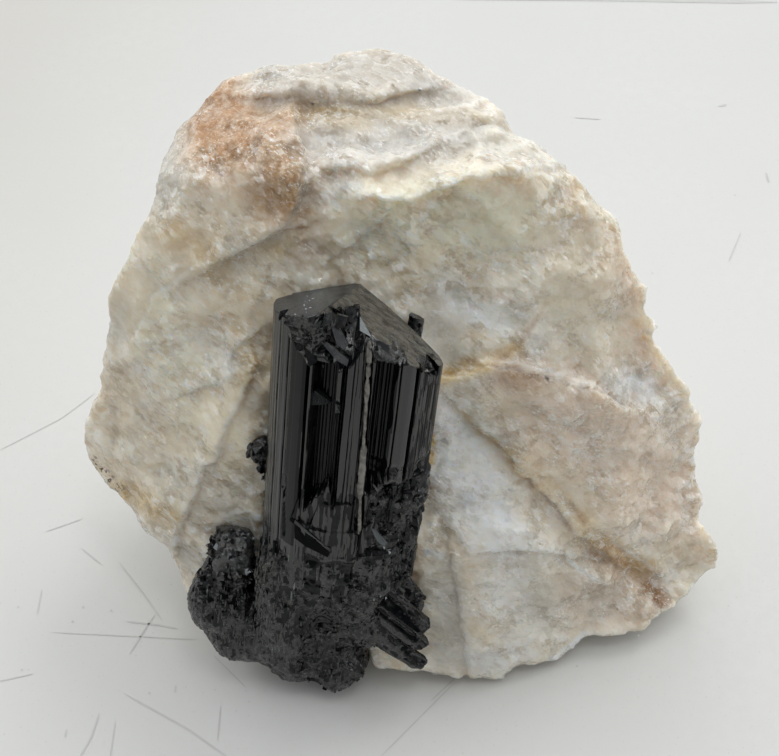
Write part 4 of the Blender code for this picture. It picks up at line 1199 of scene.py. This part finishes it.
def build_foot(look, shaded):
    """The broken base of the crystal: lumps and plates that run together, grainy and in places fibrous."""
    shapes = [as_mesh(hull(*lump), AXIS) for lump in LUMPS]
    mesh = remeshed(joined(shapes), FOOT_GRIDS[0])
    set_points(mesh, relaxed(get_points(mesh), get_edges(mesh), 9))
    set_points(mesh, get_points(mesh) + get_normals(mesh) * FOOT_SWELL * MM)
    plates = [as_mesh(hull(*plate), AXIS) for plate in PLATES]
    mesh = remeshed(joined([mesh] + plates), FOOT_GRIDS[1])
    world = softened(mesh)
    normals = get_normals(mesh)
    local = moved(world, AXIS.inverted())
    across, along, out = local.T
    fibrous = np.maximum(
        rising(-13.0, -12.0, across) * falling(-3.5, -1.0, across),
        falling(-14.5, -13.0, across) * falling(-17.0, -14.0, along))
    lift = 0.55 * facets(local * (1.0, 0.6, 1.0), 5.0, 0.3, 1.2, 0.5, 41) * (1 - 0.5 * fibrous)
    lift += 0.5 * facets(local, 2.0, 0.4, 1.5, 0.6, 42) * (1 - 0.6 * fibrous)
    mottled = 0.5 * lift + 0.6 * ripple(local * (1.0, 0.6, 1.0), 0.8, 45, 2)
    # The lowest places of the mottling get painted shade
    painted_shade_places = mottled < np.percentile(mottled, DARK_FOOT)
    lift += 0.26 * facets(local, 1.0, 0.4, 1.4, 0.4, 44) * (1 - 0.7 * fibrous)
    lift += 0.34 * fibrous * ripple(local * (1 / 0.9, 1 / 9.0, 1 / 0.9), 1.0, 43, 3)
    middle, half, depth = CLEFT
    cleft = rising(-24.0, -17.0, along) * falling(-3.0, 1.0, along)
    lift -= depth * np.exp(-((across - middle + 0.03 * (along + 13)) / half) ** 2) * cleft
    moved_out = world + normals * lift[:, None]
    set_points(mesh, moved_out * MM)
    add_mask(mesh, "broken", np.clip(0.8 - 0.35 * fibrous, 0, 1))
    lump_top = on_spot(LUMP_TOP, across, along)
    # Painted glints on the lump's top
    add_mask(mesh, "frost_and_glint", 0.1 * lump_top * rising(-0.2, 0.4, ripple(local, 1.4, 46, 3)))
    dusty = 0.8 * on_spot(DUSTY_SPOT, across, along) + 0.9 * lump_top
    add_mask(mesh, "dust", np.clip(dusty, 0, 1))
    add_mask(mesh, "haze", 0.35 * lump_top)
    new_object("tourmaline_foot", mesh, look, "tourmaline_crystal")
    shade_dark(mesh, shaded, painted_shade_places)

    choice = np.random.default_rng(6)
    local = moved(moved_out, AXIS.inverted())
    facing = (normals @ np.array(AXIS)[:3, 2] > -0.1) & (out > -6)
    grainy = np.flatnonzero(facing & (fibrous < 0.3) & (across > -4))
    blocky = np.flatnonzero(facing & (across < -13) & (along > -17))
    woody = np.flatnonzero(facing & (fibrous > 0.7) & (along > -33) & (across > -23))
    cloud = []
    for places, (number, *manner) in zip((grainy, blocky, woody), FOOT_SPLINTERS):
        cloud += shards(local[choice.choice(places, number)], *manner, choice)
    # Painted glints: a few splinters shine bluish-white
    frost_and_glint = (choice.random(len(cloud)) < 0.03) * 0.5
    shard_piece("tourmaline_splinters", cloud, look, 0.2, frost_and_glint)


def sprig_bmesh(root, tip, width, flatness, turn):
    """A small six-sided crystal with a low pointed end and softened edges."""
    root = Vector(root)
    run = Vector(tip) - root
    bm = bmesh.new()
    rings = []
    for along, size in ((0.0, 1.04), (0.93, 0.96)):
        ring = []
        for side in range(6):
            angle = math.radians(60 * side + turn)
            wide = 1.0 + 0.12 * math.sin(side * 2.3 + turn)
            spot = Vector((math.cos(angle), math.sin(angle) * flatness, 0)) * width / 2 * size * wide
            slant = 0.05 * math.cos(angle - 0.6)
            ring.append(bm.verts.new(spot + Vector((0, 0, (along + slant) * run.length))))
        rings.append(ring)
    bm.faces.new(rings[0])
    bm.faces.new(rings[1])
    for i in range(6):
        j = (i + 1) % 6
        bm.faces.new((rings[0][i], rings[0][j], rings[1][j], rings[1][i]))
    bmesh.ops.recalc_face_normals(bm, faces=bm.faces)
    bmesh.ops.bevel(bm, geom=bm.edges[:], offset=0.12, segments=2, profile=0.6, affect="EDGES")
    bmesh.ops.rotate(bm, matrix=run.to_track_quat("Z", "Y").to_matrix(), verts=bm.verts)
    bmesh.ops.translate(bm, vec=root, verts=bm.verts)
    return bm


def build_sprigs(look, shaded):
    """The fan of short crystals."""
    shapes = [as_mesh(sprig_bmesh(*sprig), AXIS) for sprig in SPRIGS]
    mesh = remeshed(joined(shapes), SPRIG_GRID)
    world = relaxed(get_points(mesh) / MM, get_edges(mesh), 1)
    way = Vector(SPRIGS[0][1]) - Vector(SPRIGS[0][0])
    lengthwise = np.array((AXIS.to_3x3() @ way.to_track_quat("Z", "Y").to_matrix()).inverted())
    lying = world @ lengthwise.T
    lift = 0.5 * facets(lying * (1.0, 1.0, 0.14), 1.1, 0.3, 1.2, 0.4, 55)
    lift = lift + 0.2 * facets(lying, 1.4, 0.4, 1.4, 0.4, 56)
    set_points(mesh, (world + get_normals(mesh) * lift[:, None]) * MM)
    add_mask(mesh, "broken", np.full(len(mesh.vertices), 0.3))
    new_object("tourmaline_sprigs", mesh, look, "tourmaline_crystal")
    # The lowest places get painted shade
    shade_dark(mesh, shaded, lift < np.percentile(lift, DARK_SPRIGS))


def rough_piece(name, mesh, voxel, look, node):
    """A small lump or crystal with an uneven broken skin."""
    mesh = remeshed(mesh, voxel)
    world = softened(mesh)
    lift = 0.3 * facets(world, 1.1, 0.4, 0.8, 0.3, 51) + 0.03 * ripple(world, 0.4, 52)
    set_points(mesh, (world + get_normals(mesh) * lift[:, None]) * MM)
    add_mask(mesh, "broken", np.full(len(mesh.vertices), 0.6))
    new_object(name, mesh, look, node)


def build_needle(look):
    """The short crystal that stands apart from the prism."""
    shape = as_mesh(sprig_bmesh(*NEEDLE), AXIS)
    rough_piece("tourmaline_needle_fine", shape, NEEDLE_GRID, look, "tourmaline_needle")


def build_grain(look):
    """The lone grain in the quartz."""
    shape = as_mesh(hull(*GRAIN), FACE)
    rough_piece("tourmaline_grain_fine", shape, GRAIN_GRID, look, "tourmaline_grain")


def build_vein(look):
    """The seam: a thin uneven bead along its line."""
    stations = np.array(SEAM)
    along = np.arange(stations[0, 0], stations[-1, 0], -SEAM_STEP)
    middle = np.interp(-along, -stations[:, 0], stations[:, 1])
    half = np.interp(-along, -stations[:, 0], stations[:, 2])
    turns = np.linspace(0, math.tau, SEAM_SIDES, endpoint=False)
    across = middle[:, None] + half[:, None] * np.cos(turns)
    bulge = np.where(np.sin(turns) > 0, 0.35, 1.8)
    out = SEAM_OUT - 0.35 + bulge * np.sin(turns) * np.minimum(1.0, half[:, None] / 0.5)
    points = np.stack([across, np.broadcast_to(along[:, None], across.shape), out], -1).reshape(-1, 3)
    points[:, 2] += 0.22 * ripple(points, 0.9, 61, 2)
    points[:, 0] += 0.12 * ripple(points, 1.1, 62, 2)
    mesh = placed_mesh("vein", points, grid_faces(len(along), SEAM_SIDES))
    new_object("quartz_seam", mesh, look, "quartz_vein")


# ---------------------------------------------------------------- stage


def on_stage(name, bm, height, look):
    """A piece of the surroundings, from a bmesh in metres."""
    mesh = bpy.data.meshes.new(name)
    bm.to_mesh(mesh)
    bm.free()
    mesh.materials.append(look)
    made = bpy.data.objects.new(name, mesh)
    made.location = (0, 0, height)
    bpy.context.scene.collection.objects.link(made)


def build_table():
    """A level sheet just under the block."""
    bm = bmesh.new()
    bmesh.ops.create_grid(bm, x_segments=2, y_segments=2, size=TABLE_HALF)
    on_stage("table", bm, TABLE_TOP, table_look())


def build_scratches():
    """Thin strips that taper at both ends, and small round spots."""
    bm = bmesh.new()
    for half, *line in SCRATCHES:
        steps = np.linspace(0, len(line) - 1, 9 * (len(line) - 1))
        places = np.stack([np.interp(steps, range(len(line)), column) for column in np.array(line).T], -1)
        ahead = np.gradient(places, axis=0)
        ahead /= np.hypot(*ahead.T)[:, None]
        aside = np.stack([-ahead[:, 1], ahead[:, 0]], -1) * half
        thin = (np.minimum(1, 3 * np.sin(math.pi * np.linspace(0, 1, len(steps)))) + 0.1)[:, None]
        pairs = [
            [bm.verts.new((*(place + way) * MM, 0.0)) for way in (shift, -shift)]
            for place, shift in zip(places, aside * thin)]
        for (a, b), (c, d) in zip(pairs, pairs[1:]):
            bm.faces.new((a, b, d, c))
    for x, y in SPOTS:
        spot = Matrix.Translation((x * MM, y * MM, 0.0))
        bmesh.ops.create_circle(bm, cap_ends=True, segments=7, radius=SPOT_RADIUS * MM, matrix=spot)
    bmesh.ops.recalc_face_normals(bm, faces=bm.faces)
    on_stage("table_scratches", bm, SCRATCH_TOP, scratch_look())


def add_lamp(name, place, size, power, colour):
    lamp = bpy.data.lights.new(name, "AREA")
    lamp.shape = "RECTANGLE"
    lamp.size, lamp.size_y = size
    lamp.energy = power
    lamp.color = colour
    made = bpy.data.objects.new(name, lamp)
    made.location = place
    made.rotation_euler = (LAMP_AIM - Vector(place)).to_track_quat("-Z", "Y").to_euler()
    bpy.context.scene.collection.objects.link(made)


def build_lights():
    """A sky that is brighter behind the block, and three lamps."""
    sky = bpy.data.worlds.new("daylight")
    bpy.context.scene.world = sky
    n = Nodes(sky, "Background", "Generated")
    n.finish(Color=SKY_COLOUR, Strength=n.band(n.along(SKY_WAY), *SKY_GLOW, course="LINEAR"))
    for lamp in LAMPS:
        add_lamp(*lamp)
    bpy.context.scene.view_settings.view_transform = "Standard"


def build_camera():
    """The camera looks straight down on the broad face, as the photo's does."""
    lens = bpy.data.cameras.new("camera")
    lens.lens = FOCAL_LENGTH
    lens.sensor_width = 36.0
    lens.clip_start = 0.01
    made = bpy.data.objects.new("camera", lens)
    made.location = FACE @ Vector((0, 0, CAMERA_DISTANCE)) * MM
    made.rotation_euler = (FACE_LEAN, 0, 0)
    bpy.context.scene.collection.objects.link(made)
    bpy.context.scene.camera = made


build_camera()
build_lights()
build_table()
build_scratches()
build_quartz(quartz_look())
black = tourmaline_look()
shaded = shaded_look()
broken_places = build_prism(black, shaded)
build_gap_shade_sheets(gap_shade_look())
build_chips(black, *broken_places)
build_foot(black, shaded)
build_sprigs(black, shaded)
build_needle(black)
build_grain(black)
build_vein(vein_look())
